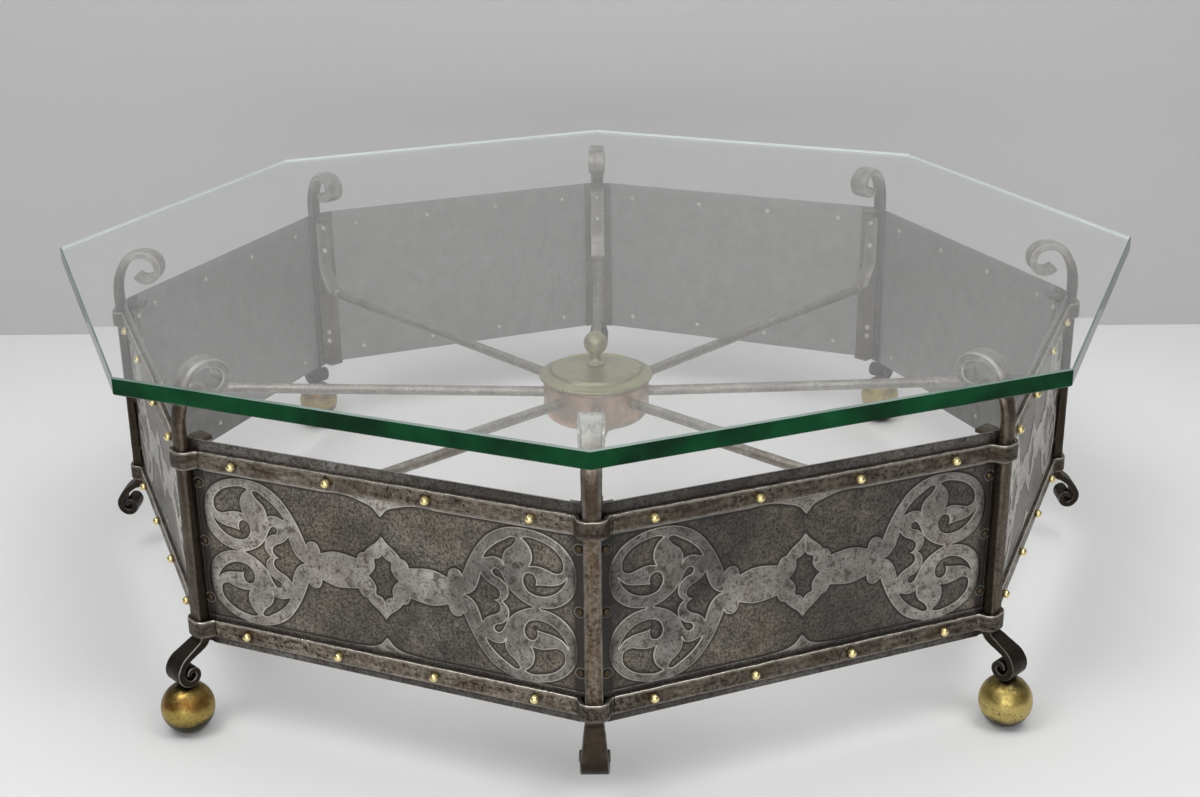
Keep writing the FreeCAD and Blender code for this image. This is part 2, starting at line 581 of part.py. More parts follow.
def make_corner_strap(corner, angle):
    """A strap folded into the corner behind two panels, with a tongue whose two ends turn inwards."""
    body = new_body(f"corner_strap_{corner}")
    nose = post_inner - size("fit_gap")
    reach = size("strap_reach")

    def face(apothem, across):
        return (apothem - across * SIN_HALF) / COS_HALF

    nose_half = (panel_back - nose * COS_HALF) / SIN_HALF
    gap = size("fit_gap") / 2
    wing_sketch = new_sketch(body, "FoldedWings", "XY_Plane", z=f"{panel_bottom}")
    outline(wing_sketch, (
        (nose, -nose_half),
        (nose, nose_half),
        (face(panel_back - gap, reach), reach),
        (face(strap_back, reach), reach),
        (face(strap_back, 0), 0),
        (face(strap_back, reach), -reach),
        (face(panel_back - gap, reach), -reach),
    ))
    extrude(body, "Pad", wing_sketch, f"{panel_top - panel_bottom}")
    doc.recompute()

    inset = size("hook_inset") + size("tongue_thickness") / 2 + size("hook_radius")
    run = panel_top - inset - panel_middle
    bends = {}
    for way in (1, -1):
        steps = ((run, 0), (size("hook_radius"), way * QUARTER_TURN), (size("hook_length"), 0))
        bends[way] = bent_bar((tongue_middle, panel_middle), way * QUARTER_TURN, steps,
                              [size("tongue_thickness")] * (len(steps) + 1))
    tongue = new_sketch(body, "Tongue", "XZ_Plane")
    draw_bars(tongue, bends[1], bends[-1])
    extrude(body, "Pad", tongue, "Sizes.tongue_width", symmetric=True)
    doc.recompute()

    holes = new_sketch(body, "PostRivetHoles", "YZ_Plane", z=f"{nose + SLACK}")
    rivet_circles(holes, paddle_rivets + strap_rivets)
    extrude(body, "Pocket", holes, f"{nose + 2 * SLACK - tongue_middle} + Sizes.tongue_thickness")
    doc.recompute()
    for way in (1, -1):
        wing_hole = new_sketch(body, "EdgeRivetHoles", "YZ_Plane")
        lean = FreeCAD.Rotation(FreeCAD.Vector(0, 1, 0), way * HALF_ANGLE)
        foot = FreeCAD.Vector(panel_face * SIN_HALF * way, 0, panel_face * COS_HALF)
        wing_hole.AttachmentOffset = FreeCAD.Placement(foot, lean)
        for row in range(EDGE_RIVETS):
            spot = FreeCAD.Vector(-way * edge_rivet_half, edge_rivet_low + row * size("edge_rivet_pitch"), 0)
            circle = wing_hole.addGeometry(Part.Circle(spot, Z_AXIS, DRAFT_RADIUS))
            bind(wing_hole, Sketcher.Constraint("Diameter", circle, 2 * DRAFT_RADIUS), RIVET_HOLE)
        extrude(body, "Pocket", wing_hole, "Sizes.panel_thickness + Sizes.strap_thickness + Sizes.fit_gap")
        doc.recompute()
    body.Placement = turned(angle)
    return body


def rod_height(radius):
    """Height of a rod's axis at a distance from the middle of the table."""
    return rod_hub_height + (radius - size("bowl_diameter") / 2) * math.tan(rod_rise)


def rod_sketch(body, name, radius):
    """A sketch square to the climbing rod, with its origin on the rod's axis."""
    sketch = new_sketch(body, name, "YZ_Plane")
    climb = FreeCAD.Rotation(FreeCAD.Vector(1, 0, 0), -size("rod_rise"))
    sketch.AttachmentOffset = FreeCAD.Placement(FreeCAD.Vector(0, rod_height(radius), radius), climb)
    return sketch


def make_spoke(corner, angle):
    """A climbing rod with a shoulder ring; its end is flattened and turned up against the tongue."""
    body = new_body(f"spoke_{corner}")
    ring_start = ring_end - size("shoulder_length") * math.cos(rod_rise)
    rod_length = (ring_start - rod_start) / math.cos(rod_rise)
    rod = rod_sketch(body, "Rod", rod_start)
    centred_circle(rod, "Sizes.rod_diameter")
    extrude(body, "Pad", rod, f"{rod_length}")
    ring = rod_sketch(body, "Shoulder", ring_start)
    centred_circle(ring, "Sizes.shoulder_diameter")
    extrude(body, "Pad", ring, "Sizes.shoulder_length")
    doc.recompute()

    steps = (
        (size("paddle_bend_radius"), size("paddle_slant") - size("rod_rise")),
        (size("paddle_slant_length"), 0),
        (size("paddle_knee_radius"), QUARTER_TURN - size("paddle_slant")),
        (paddle_top - upright_start, 0),
    )
    paddle = new_sketch(body, "Paddle", "XZ_Plane")
    draw_bars(paddle, bent_bar((ring_end, rod_height(ring_end)), size("rod_rise"), steps,
                               [size("paddle_thickness")] * (len(steps) + 1)))
    extrude(body, "Pad", paddle, "Sizes.tongue_width", symmetric=True)
    doc.recompute()
    holes = new_sketch(body, "PaddleRivetHoles", "YZ_Plane", z=f"{paddle_middle + SLACK}")
    rivet_circles(holes, paddle_rivets)
    extrude(body, "Pocket", holes, f"{2 * SLACK}")
    body.Placement = turned(angle)
    return body


def cut_rod_holes(body, radius, length):
    """One hole for a rod, outwards from this radius, repeated round the hub."""
    hole = rod_sketch(body, "RodHole", radius)
    centred_circle(hole, "Sizes.rod_diameter + Sizes.fit_gap")
    pocket = extrude(body, "Pocket", hole, length, reverse=True)
    pattern = body.newObject("PartDesign::PolarPattern", "RodHoles")
    pattern.Originals = [pocket]
    pattern.Axis = (origin_plane(body, "Z_Axis"), [""])
    pattern.Angle = FULL_TURN
    pattern.Occurrences = len(CORNERS)
    body.Tip = pattern


def make_hub_core():
    """A block with a bore for the tie rod and eight holes for the rods."""
    body = new_body("hub_core")
    sketch = new_sketch(body, "Block", "XY_Plane", z=f"{rod_hub_height} - Sizes.core_height / 2")
    centred_circle(sketch, "Sizes.core_diameter")
    centred_circle(sketch, TIE_ROD_HOLE)
    extrude(body, "Pad", sketch, "Sizes.core_height")
    doc.recompute()
    cut_rod_holes(body, rod_start - size("fit_gap"), f"Sizes.rod_hub_depth + {SLACK}")
    return body


def make_hub_bowl():
    """A thin turned bowl: straight side, rounded shoulder, sloping floor and an ogee tip."""
    body = new_body("hub_bowl")
    wall, bore = size("bowl_wall"), (size("tie_rod_diameter") + size("fit_gap")) / 2
    round_turn = math.radians(BOWL_ROUND_TURN)
    sides = []
    for inset in (0.0, wall):
        radius = size("bowl_diameter") / 2 - inset
        rounding = size("bowl_round") - inset
        centre_out, centre_up = radius - rounding, hub_top - size("bowl_side")
        tier, tip = size("tier_diameter") / 2 - inset, size("tip_diameter") / 2 - inset
        centre = FreeCAD.Vector(centre_out, centre_up, 0)
        arc = [centre + FreeCAD.Vector(math.cos(turn), -math.sin(turn), 0) * rounding
               for turn in (0.0, round_turn / 2, round_turn)]
        tier_up = bowl_floor - size("tier_height") + inset
        tip_up = tier_up - size("tip_height")
        tier_point = FreeCAD.Vector(tier, tier_up, 0)
        tip_point = FreeCAD.Vector(tip, tip_up, 0)
        belly = FreeCAD.Vector(
            tier + (tip - tier) * OGEE_BELLY[0] + size("ogee_swell"),
            tier_up + (tip_up - tier_up) * OGEE_BELLY[1] - size("ogee_swell") / 2, 0)
        sides.append((FreeCAD.Vector(radius, hub_top, 0), arc, tier_point, belly, tip_point))
    sketch = new_sketch(body, "BowlProfile", "XZ_Plane")
    for rim, arc, tier_point, belly, tip_point in sides:
        sketch.addGeometry(Part.LineSegment(rim, arc[0]))
        sketch.addGeometry(Part.Arc(*arc))
        sketch.addGeometry(Part.LineSegment(arc[2], tier_point))
        sketch.addGeometry(Part.Arc(tier_point, belly, tip_point))
    outer_tip, inner_tip = sides[0][4], sides[1][4]
    outer_bore = FreeCAD.Vector(bore, outer_tip.y, 0)
    inner_bore = FreeCAD.Vector(bore, inner_tip.y, 0)
    for start, end in ((sides[0][0], sides[1][0]), (outer_tip, outer_bore),
                       (outer_bore, inner_bore), (inner_bore, inner_tip)):
        sketch.addGeometry(Part.LineSegment(start, end))
    revolve(body, sketch)
    doc.recompute()
    cut_rod_holes(body, size("core_diameter") / 2, "Sizes.bowl_diameter")
    return body


def make_hub_cover():
    """A turned brass disc: rolled edge, raised ring and a low crown."""
    body = new_body("hub_cover")
    wall, bore = size("cover_wall"), (size("tie_rod_diameter") + size("fit_gap")) / 2
    bowl_outer = size("bowl_diameter") / 2
    rim, ring = bowl_outer + size("cover_overhang"), bowl_outer - size("cover_ring_inset")
    bowl_inner = bowl_outer - size("bowl_wall")
    edge_top = hub_top + size("cover_edge")
    ring_top = edge_top + size("cover_ring_rise")
    sketch = new_sketch(body, "CoverProfile", "XZ_Plane")
    outline(sketch, (
        (bore, cover_top),
        (size("finial_base_diameter") / 2, cover_top),
        (ring - wall, ring_top - wall / 2),
        (ring - wall / 2, ring_top),
        (ring + wall / 2, ring_top),
        (ring + wall, ring_top - wall / 2),
        (rim - size("cover_edge"), edge_top),
        (rim, edge_top - size("cover_edge") / 3),
        (rim, hub_top + size("cover_edge") / 3),
        (rim - size("cover_edge") / 3, hub_top),
        (bowl_inner - wall, hub_top),
        (ring, ring_top - 2 * wall),
        (bore, cover_top - wall),
    ))
    revolve(body, sketch)
    return body


def make_hub_finial():
    """A ball on a waisted neck, bored from below for the tie rod."""
    body = new_body("hub_finial")
    bore = (size("tie_rod_diameter") + size("fit_gap")) / 2
    base, neck = size("finial_base_diameter") / 2, size("finial_neck_diameter") / 2
    ball = size("finial_ball_diameter") / 2
    base_top = cover_top + size("finial_base_height")
    drop = math.sqrt(ball ** 2 - neck ** 2)
    neck_top = FreeCAD.Vector(neck, finial_middle - drop, 0)
    sketch = new_sketch(body, "FinialProfile", "XZ_Plane")
    edge = FreeCAD.Vector(base, base_top - size("finial_base_height") / 2, 0)
    waist = FreeCAD.Vector((neck + base) / 2 - size("finial_waist"), base_top, 0)
    seat_inner = FreeCAD.Vector(bore, cover_top, 0)
    seat_outer = FreeCAD.Vector(base, cover_top, 0)
    sketch.addGeometry(Part.LineSegment(seat_inner, seat_outer))
    sketch.addGeometry(Part.LineSegment(seat_outer, edge))
    sketch.addGeometry(Part.Arc(edge, waist, neck_top))
    sketch.addGeometry(Part.Arc(neck_top, FreeCAD.Vector(ball, finial_middle, 0),
                                FreeCAD.Vector(0, finial_middle + ball, 0)))
    bore_top = finial_middle + size("fit_gap")
    points = ((0, finial_middle + ball), (0, bore_top), (bore, bore_top), (bore, cover_top))
    for start, end in zip(points, points[1:]):
        sketch.addGeometry(Part.LineSegment(FreeCAD.Vector(*start, 0), FreeCAD.Vector(*end, 0)))
    revolve(body, sketch)
    return body


def make_hub_bottom_knob():
    """A turned nut under the bowl with a rounded lower end."""
    body = new_body("hub_bottom_knob")
    bore, half = (size("tie_rod_diameter") + size("fit_gap")) / 2, size("knob_diameter") / 2
    low, side = bowl_tip - size("knob_height"), size("knob_height") / 3
    sketch = new_sketch(body, "KnobProfile", "XZ_Plane")
    top_edge = FreeCAD.Vector(half, bowl_tip, 0)
    lower_edge = FreeCAD.Vector(half, bowl_tip - side, 0)
    end = FreeCAD.Vector(bore, low, 0)
    bulge = FreeCAD.Vector(half * KNOB_BULGE[0], low + side * KNOB_BULGE[1], 0)
    bore_top = FreeCAD.Vector(bore, bowl_tip, 0)
    sketch.addGeometry(Part.LineSegment(bore_top, top_edge))
    sketch.addGeometry(Part.LineSegment(top_edge, lower_edge))
    sketch.addGeometry(Part.Arc(lower_edge, bulge, end))
    sketch.addGeometry(Part.LineSegment(end, bore_top))
    revolve(body, sketch)
    return body


def make_hub_tie_rod():
    """The threaded rod from the bottom knob into the finial, as a plain cylinder."""
    rod = doc.addObject("Part::Cylinder", "hub_tie_rod")
    rod.Label = "hub_tie_rod"
    rod.setExpression("Radius", "Sizes.tie_rod_diameter / 2")
    low = bowl_tip - size("knob_height")
    rod.setExpression("Height", f"{finial_middle - low}")
    rod.Placement = FreeCAD.Placement(FreeCAD.Vector(0, 0, low), FreeCAD.Rotation())
    return rod


def make_group(label, solids):
    """Identical small pieces as one group of separate solids."""
    group = doc.addObject("Part::Feature", label)
    group.Label = label
    group.Shape = Part.makeCompound(solids)
    return group


def dome(width, height, out):
    """A low dome on the plane X = out: the cap of a sphere, along +X."""
    radius = (width ** 2 / 4 + height ** 2) / (2 * height)
    ball = Part.makeSphere(radius, FreeCAD.Vector(out + height - radius, 0, 0), X_AXIS)
    block = Part.makeBox(2 * radius, 2 * radius, 2 * radius, FreeCAD.Vector(out, -radius, -radius))
    return ball.common(block)


def rivet(head, out, length, tail):
    """A rivet along X: a head of the named size on the plane X = out, with or without a set end."""
    shank = Part.makeCylinder(size("rivet_shank") / 2, length, FreeCAD.Vector(out - length, 0, 0), X_AXIS)
    pieces = [dome(size(head), size(f"{head}_height"), out)]
    if tail:
        end = dome(size("rivet_tail"), size("rivet_tail_height"), 0)
        turned_back = FreeCAD.Rotation(Z_AXIS, FULL_TURN / 2)
        end.Placement = FreeCAD.Placement(FreeCAD.Vector(out - length, 0, 0), turned_back)
        pieces.append(end)
    return shank.multiFuse(pieces).removeSplitter()


def placed(solid, along, height, angle):
    """A copy of a piece that is drawn along X, moved along its side and up, then turned round the table."""
    copy = solid.copy()
    copy.translate(FreeCAD.Vector(0, along, height))
    copy.rotate(FreeCAD.Vector(), Z_AXIS, angle)
    return copy


def make_rail_rivets():
    through = size("rail_thickness") + size("panel_thickness")
    one = rivet("rivet_head", panel_face + size("rail_thickness"), through, True)
    return make_group("rail_rivets", [
        placed(one, column * rail_rivet_pitch - rail_rivet_half, rail_heights[level],
               HALF_ANGLE + STEP_ANGLE * index)
        for index in range(len(SIDES)) for level in LEVELS for column in range(RAIL_RIVETS)])


def make_edge_rivets():
    through = size("panel_thickness") + size("strap_thickness")
    one = rivet("edge_rivet_head", panel_face, through, False)
    return make_group("panel_edge_rivets", [
        placed(one, end * edge_rivet_half, edge_rivet_low + row * size("edge_rivet_pitch"),
               HALF_ANGLE + STEP_ANGLE * index)
        for index in range(len(SIDES)) for end in (-1, 1) for row in range(EDGE_RIVETS)])


def make_post_rivets():
    """Rivets from inside the corner through tongue, and paddle if it is there, into the post."""
    solids = []
    for height in paddle_rivets + strap_rivets:
        seat = tongue_middle - size("tongue_thickness") / 2
        if height in paddle_rivets:
            seat = paddle_middle - size("paddle_thickness") / 2
        one = rivet("rivet_head", 0, post_inner + size("post_rivet_depth") - seat, False)
        one.rotate(FreeCAD.Vector(), Z_AXIS, FULL_TURN / 2)
        one.translate(FreeCAD.Vector(seat, 0, 0))
        solids += [placed(one, 0, height, STEP_ANGLE * index) for index in range(len(CORNERS))]
    return make_group("post_rivets", solids)


def make_ball_feet():
    """Balls with a stud hole on top and a worn flat underneath."""
    radius = size("ball_diameter") / 2
    middle = radius - size("ball_flat")
    ball = Part.makeSphere(radius, FreeCAD.Vector(ball_radius_out, 0, middle))
    floor = Part.makeBox(2 * radius, 2 * radius, radius,
                         FreeCAD.Vector(ball_radius_out - radius, -radius, -radius))
    hole = Part.makeCylinder((size("stud_diameter") + size("fit_gap")) / 2, 2 * radius,
                             FreeCAD.Vector(ball_radius_out, 0, stud_bottom))
    one = ball.cut([floor, hole])
    return make_group("ball_feet", [placed(one, 0, 0, STEP_ANGLE * index) for index in BALL_CORNERS])


def make_ball_studs():
    height = foot_bottom + size("foot_thickness") - stud_bottom
    foot = FreeCAD.Vector(ball_radius_out, 0, stud_bottom)
    one = Part.makeCylinder(size("stud_diameter") / 2, height, foot)
    return make_group("ball_studs", [placed(one, 0, 0, STEP_ANGLE * index) for index in BALL_CORNERS])


pieces = [make_glass()]
for index, corner in enumerate(CORNERS):
    angle = STEP_ANGLE * index
    pieces.append(make_post(corner, angle, index in BALL_CORNERS))
    pieces.append(make_corner_strap(corner, angle))
    pieces.append(make_spoke(corner, angle))
for index, side in enumerate(SIDES):
    angle = HALF_ANGLE + STEP_ANGLE * index
    pieces.append(make_panel(side, angle))
    pieces += [make_rail(level, side, angle) for level in LEVELS]
pieces += [make_hub_core(), make_hub_bowl(), make_hub_cover(), make_hub_finial(), make_hub_bottom_knob(),
           make_hub_tie_rod(), make_rail_rivets(), make_edge_rivets(), make_post_rivets(),
           make_ball_feet(), make_ball_studs()]
doc.recompute()

for item in doc.Objects:
    if "Invalid" in item.State or "Error" in item.State:
        raise RuntimeError(f"{item.Label} did not build: {item.State}")
for piece in pieces:
    if piece.Shape.isNull() or not piece.Shape.isValid():
        raise RuntimeError(f"{piece.Label} has no valid shape")

os.makedirs("parts", exist_ok=True)
for piece in pieces:
    piece.Shape.exportStep(os.path.join("parts", f"{piece.Label}.step"))
    box = piece.Shape.BoundBox
    print(f"{piece.Label}: {len(piece.Shape.Solids)} solids, {piece.Shape.Volume / 1000:.1f} cm3, "
          f"z {box.ZMin:.1f} to {box.ZMax:.1f}")
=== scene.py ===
# %% [markdown]
# # An octagonal coffee table
#
# A loose glass plate lies on eight forged posts. Etched steel panels hang between the posts on riveted
# rails, and eight spokes run from the corners to a brass and copper hub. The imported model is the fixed
# frame: it gives every place and size, and each step below lays a worked surface and a finish over it.

# %% Load the fixed frame
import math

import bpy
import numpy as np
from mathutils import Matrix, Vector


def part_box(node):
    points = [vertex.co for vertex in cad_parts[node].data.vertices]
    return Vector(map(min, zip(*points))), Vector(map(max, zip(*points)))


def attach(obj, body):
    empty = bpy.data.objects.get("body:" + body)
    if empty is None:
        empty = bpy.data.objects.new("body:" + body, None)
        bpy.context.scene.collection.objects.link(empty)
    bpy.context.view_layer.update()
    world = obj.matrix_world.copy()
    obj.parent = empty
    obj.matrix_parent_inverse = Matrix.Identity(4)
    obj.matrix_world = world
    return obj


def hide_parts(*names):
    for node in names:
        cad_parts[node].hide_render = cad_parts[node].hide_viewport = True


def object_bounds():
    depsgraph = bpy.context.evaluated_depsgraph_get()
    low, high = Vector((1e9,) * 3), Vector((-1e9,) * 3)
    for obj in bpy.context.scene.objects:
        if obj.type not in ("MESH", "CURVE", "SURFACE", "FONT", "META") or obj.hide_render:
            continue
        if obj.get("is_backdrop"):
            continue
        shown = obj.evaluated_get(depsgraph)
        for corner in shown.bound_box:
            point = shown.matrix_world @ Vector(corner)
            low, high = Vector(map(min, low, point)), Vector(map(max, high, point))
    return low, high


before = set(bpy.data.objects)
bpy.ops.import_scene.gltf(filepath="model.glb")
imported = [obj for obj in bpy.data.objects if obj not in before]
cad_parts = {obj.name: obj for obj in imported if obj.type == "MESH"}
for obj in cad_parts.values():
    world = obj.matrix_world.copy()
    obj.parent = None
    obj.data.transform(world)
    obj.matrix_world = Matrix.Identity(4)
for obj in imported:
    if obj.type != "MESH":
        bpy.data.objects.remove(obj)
CAD_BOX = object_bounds()

# %% [markdown]
# ## Places that the steps share
#
# The table repeats round the upright axis: a corner post every 45 degrees, and a side halfway between.
# A piece is drawn once, looking outwards, and turned to each of its angles. Reading the main places
# from the frame keeps every surface where the solid is, with nothing to fit afterwards.

MM = 0.001
CORNERS = dict(zip(("right", "back_right", "back", "back_left", "left", "front_left", "front", "front_right"),
                   range(0, 360, 45)))
SIDES = dict(zip(("right_back", "back_right", "back_left", "left_back",
                  "left_front", "front_left", "front_right", "right_front"), np.arange(22.5, 360, 45)))
HALF_ANGLE = math.radians(22.5)
PLATE_OVERHANG = 66.6 * MM
UP = np.array([0.0, 0.0, 1.0])


def outward(angle):
    """The level direction away from the middle of the table at an angle in degrees."""
    return np.array([math.cos(math.radians(angle)), math.sin(math.radians(angle)), 0.0])


def sideways(angle):
    """The level direction square to outward, a quarter turn on."""
    return outward(angle + 90)


def reach(node, direction):
    """Lowest and highest place of a node's points along a direction."""
    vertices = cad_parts[node].data.vertices
    places = np.empty(3 * len(vertices), np.float32)
    vertices.foreach_get("co", places)
    measured = places.reshape(-1, 3) @ direction
    return float(measured.min()), float(measured.max())


glass_low, glass_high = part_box("glass_top")
CORNER_RADIUS = glass_high.x - PLATE_OVERHANG
PANEL_BACK, PANEL_FACE = reach("panel_front_left", outward(SIDES["front_left"]))
PANEL_HALF = reach("panel_front_left", sideways(SIDES["front_left"]))[1]
PANEL_LOW, PANEL_HIGH = reach("panel_front_left", UP)
PANEL_MIDDLE = (PANEL_HIGH + PANEL_LOW) / 2
RAIL_SPANS = {level: reach(f"{level}_rail_front_left", UP) for level in ("top", "bottom")}
RAIL_MIDDLES = {level: sum(span) / 2 for level, span in RAIL_SPANS.items()}
print(f"corner radius {CORNER_RADIUS:.4f} m, panel face {PANEL_FACE:.4f} m from the middle")

# %% [markdown]
# ## Camera
#
# The photo was taken from a little above and in front of one corner post. The camera's place, turn and
# focal length were worked out from points that can be measured in the photo, such as the plate's corners.
# Setting the camera first lets every later render be laid beside the photo.

# %% Set the camera
from mathutils import Matrix, Vector

PHOTO_WIDTH = 1200
FOCAL_PIXELS = 1657.98
SENSOR_WIDTH = 36.0
CAMERA_PLACE = np.array([18.4, -1973.9, 970.9]) * MM
CAMERA_YAW, CAMERA_PITCH, CAMERA_ROLL = (math.radians(turn) for turn in (0.397, 21.136, -0.651))

camera_data = bpy.data.cameras.new("photo_camera")
camera_data.sensor_width = SENSOR_WIDTH
camera_data.lens = FOCAL_PIXELS * SENSOR_WIDTH / PHOTO_WIDTH
camera = bpy.data.objects.new("photo_camera", camera_data)
ahead = np.array([-math.sin(CAMERA_YAW) * math.cos(CAMERA_PITCH),
                  math.cos(CAMERA_YAW) * math.cos(CAMERA_PITCH), -math.sin(CAMERA_PITCH)])
level_right = np.array([math.cos(CAMERA_YAW), math.sin(CAMERA_YAW), 0.0])
level_up = np.cross(level_right, ahead)
image_right = level_right * math.cos(CAMERA_ROLL) + level_up * math.sin(CAMERA_ROLL)
image_up = level_up * math.cos(CAMERA_ROLL) - level_right * math.sin(CAMERA_ROLL)
turn = np.eye(4)
turn[:3, :4] = np.stack([image_right, image_up, -ahead, CAMERA_PLACE], axis=1)
camera.matrix_world = Matrix(turn.tolist())
bpy.context.scene.collection.objects.link(camera)
bpy.context.scene.camera = camera
bpy.context.scene.view_settings.view_transform = "Standard"
print(f"lens {camera_data.lens:.2f} mm")

# %% [markdown]
# ## Helpers for finishes
#
# A finish is a small graph of nodes that feeds one shader. A few short helpers keep the graphs readable:
# one adds a node and links or sets its inputs, and the others name the few blends that every finish uses.
# Patterns read Object coordinates or a piece's own measures, both in metres, so a noise scale is simply
# waves per metre.

# %% Name the helpers
WHITE = (1.0, 1.0, 1.0, 1.0)


def grey(value):
    """A colour with no hue."""
    return (value, value, value, 1.0)


def new_finish(name):
    """An empty finish: the material, its node tree, its shader and its Object coordinates."""
    finish = bpy.data.materials.new(name)
    finish.use_nodes = True
    tree = finish.node_tree
    places = tree.nodes.new("ShaderNodeTexCoord").outputs["Object"]
    return finish, tree, tree.nodes["Principled BSDF"], places


def add(tree, kind, inputs, **settings):
    """A node with its settings. An input that is a socket is linked, and any other is a value."""
    node = tree.nodes.new(f"ShaderNode{kind}")
    for key, value in settings.items():
        setattr(node, key, value)
    for key, value in inputs.items():
        if isinstance(value, bpy.types.NodeSocket):
            tree.links.new(value, node.inputs[key])
        else:
            node.inputs[key].default_value = value
    return node


def noise(tree, places, scale, detail=3.0, roughness=0.55):
    """Soft random mottling from 0 to 1, in waves per metre."""
    inputs = {"Vector": places, "Scale": scale, "Detail": detail, "Roughness": roughness}
    return add(tree, "TexNoise", inputs).outputs["Fac"]


def span(tree, value, low, high, new_low=0.0, new_high=1.0):
    """A value stretched from one range to another and held at its ends."""
    inputs = {"Value": value, "From Min": low, "From Max": high, "To Min": new_low, "To Max": new_high}
    return add(tree, "MapRange", inputs).outputs["Result"]


def blend(tree, share, first, second):
    """Two colours mixed: all the first at share 0 and all the second at share 1."""
    mixed = add(tree, "Mix", {0: share, 6: first, 7: second}, data_type="RGBA")
    return mixed.outputs[2]


def sums(tree, operation, first, second):
    """One step of arithmetic on two values."""
    return add(tree, "Math", {0: first, 1: second}, operation=operation).outputs[0]


def scaled(tree, colour, factor):
    """A colour made lighter or darker by a factor."""
    return add(tree, "VectorMath", {0: colour, "Scale": factor}, operation="SCALE").outputs[0]


def own(tree, name):
    """A number that the piece's own mesh carries at each point."""
    return add(tree, "Attribute", {}, attribute_name=name).outputs["Fac"]


def feed(tree, shader, colour, rough, bump=None, bump_depth=0.0):
    """Links a colour, a roughness and a bump of some depth in metres to the shader."""
    tree.links.new(colour, shader.inputs["Base Color"])
    tree.links.new(rough, shader.inputs["Roughness"])
    if bump is not None:
        made = add(tree, "Bump", {"Height": bump, "Distance": bump_depth, "Strength": 1.0})
        tree.links.new(made.outputs["Normal"], shader.inputs["Normal"])


print("helpers for finishes are ready")

# %% [markdown]
# ## Stage and light
#
# The photo has a white floor sheet that meets a grey wall close behind the table. A plain floor and a
# plain wall give that, and metal and glass reflect them as they do in the studio. The wall is clear from
# behind, so the table can be looked at from the back as well. The highlights on the brass show two soft
# lamps above the camera, left and right. A wide lamp overhead, a low one in front and a dim even sky fill
# the shadows. The glass would stop the lamps' straight light, so the plate casts no shadow and the lamps
# don't shine through it a second time.

# %% Make the floor, the wall and the lamps
FLOOR_HALF = 7.0
WALL_PLACE = 0.885
WALL_HEIGHT = 3.2
FLOOR_GREY = 0.72
WALL_GREY = 0.49
CLOUD = 0.03
SKY = 0.16
LAMPS = (
    # name, place, target, width and radiance
    ("left_lamp", (-1.2, -1.2, 2.5), (0.0, 0.0, 0.2), 1.1, 5.2),
    ("right_lamp", (1.2, -1.2, 2.5), (0.0, 0.0, 0.2), 1.1, 4.4),
    ("overhead_lamp", (0.0, -0.1, 3.0), (0.0, -0.1, 0.0), 3.2, 1.9),
    ("front_lamp", (0.0, -3.4, 1.3), (0.0, 0.0, 0.1), 3.0, 2.0),
)


def flat_sheet(name, corners, finish):
    """One four-sided face, for the stage."""
    mesh = bpy.data.meshes.new(name)
    mesh.from_pydata(corners, [], [(0, 1, 2, 3)])
    mesh.materials.append(finish)
    sheet = bpy.data.objects.new(name, mesh)
    bpy.context.scene.collection.objects.link(sheet)
    sheet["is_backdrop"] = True


def paper_finish(name, lightness, clear_from_behind):
    """Matt paper, with an option to let light and sight through from behind."""
    finish, tree, shader, places = new_finish(name)
    cloudy = noise(tree, places, 1.3, 2.0)
    tone = blend(tree, cloudy, grey(lightness * (1 - CLOUD)), grey(lightness * (1 + CLOUD)))
    tree.links.new(tone, shader.inputs["Base Color"])
    shader.inputs["Roughness"].default_value = 0.9
    shader.inputs["Specular IOR Level"].default_value = 0.1
    if clear_from_behind:
        facing = tree.nodes.new("ShaderNodeNewGeometry").outputs["Backfacing"]
        clear = add(tree, "BsdfTransparent", {"Color": WHITE})
        mixed = add(tree, "MixShader", {0: facing, 1: shader.outputs[0], 2: clear.outputs[0]})
        tree.links.new(mixed.outputs[0], tree.nodes["Material Output"].inputs["Surface"])
    return finish


def soft_lamp(name, place, target, width, radiance):
    """A square lamp that faces a target; its power follows from its radiance and area."""
    lamp_data = bpy.data.lights.new(name, "AREA")
    lamp_data.size = width
    lamp_data.energy = radiance * math.pi * width ** 2
    lamp = bpy.data.objects.new(name, lamp_data)
    facing = Vector(place) - Vector(target)
    lamp.matrix_world = Matrix.Translation(place) @ facing.to_track_quat("Z", "Y").to_matrix().to_4x4()
    lamp.visible_transmission = False
    lamp.visible_camera = False
    bpy.context.scene.collection.objects.link(lamp)


flat_sheet("floor_sheet", [(-FLOOR_HALF, -FLOOR_HALF, 0), (FLOOR_HALF, -FLOOR_HALF, 0),
                           (FLOOR_HALF, FLOOR_HALF, 0), (-FLOOR_HALF, FLOOR_HALF, 0)],
           paper_finish("floor_paper", FLOOR_GREY, False))
flat_sheet("wall_sheet", [(-FLOOR_HALF, WALL_PLACE, 0), (FLOOR_HALF, WALL_PLACE, 0),
                          (FLOOR_HALF, WALL_PLACE, WALL_HEIGHT), (-FLOOR_HALF, WALL_PLACE, WALL_HEIGHT)],
           paper_finish("wall_paper", WALL_GREY, True))
for lamp_values in LAMPS:
    soft_lamp(*lamp_values)
world = bpy.data.worlds.new("studio_sky")
world.use_nodes = True
world.node_tree.nodes["Background"].inputs["Color"].default_value = grey(SKY)
bpy.context.scene.world = world
print("stage and light are ready")

# %% [markdown]
# ## Helpers for surfaces
#
# Every new piece is a grid of points worked out as whole arrays. A bar is a cross section carried along
# a line of straight runs and tangent arcs, which is how a smith bends it. A turned piece is a profile
# carried round an axis. Both become a mesh in the same way, with a pole point closing each end.

# %% Walk along a bent line
ARC_STEP = 9
EASE_POINTS = 5
EASE_CLEARANCE = 1.2


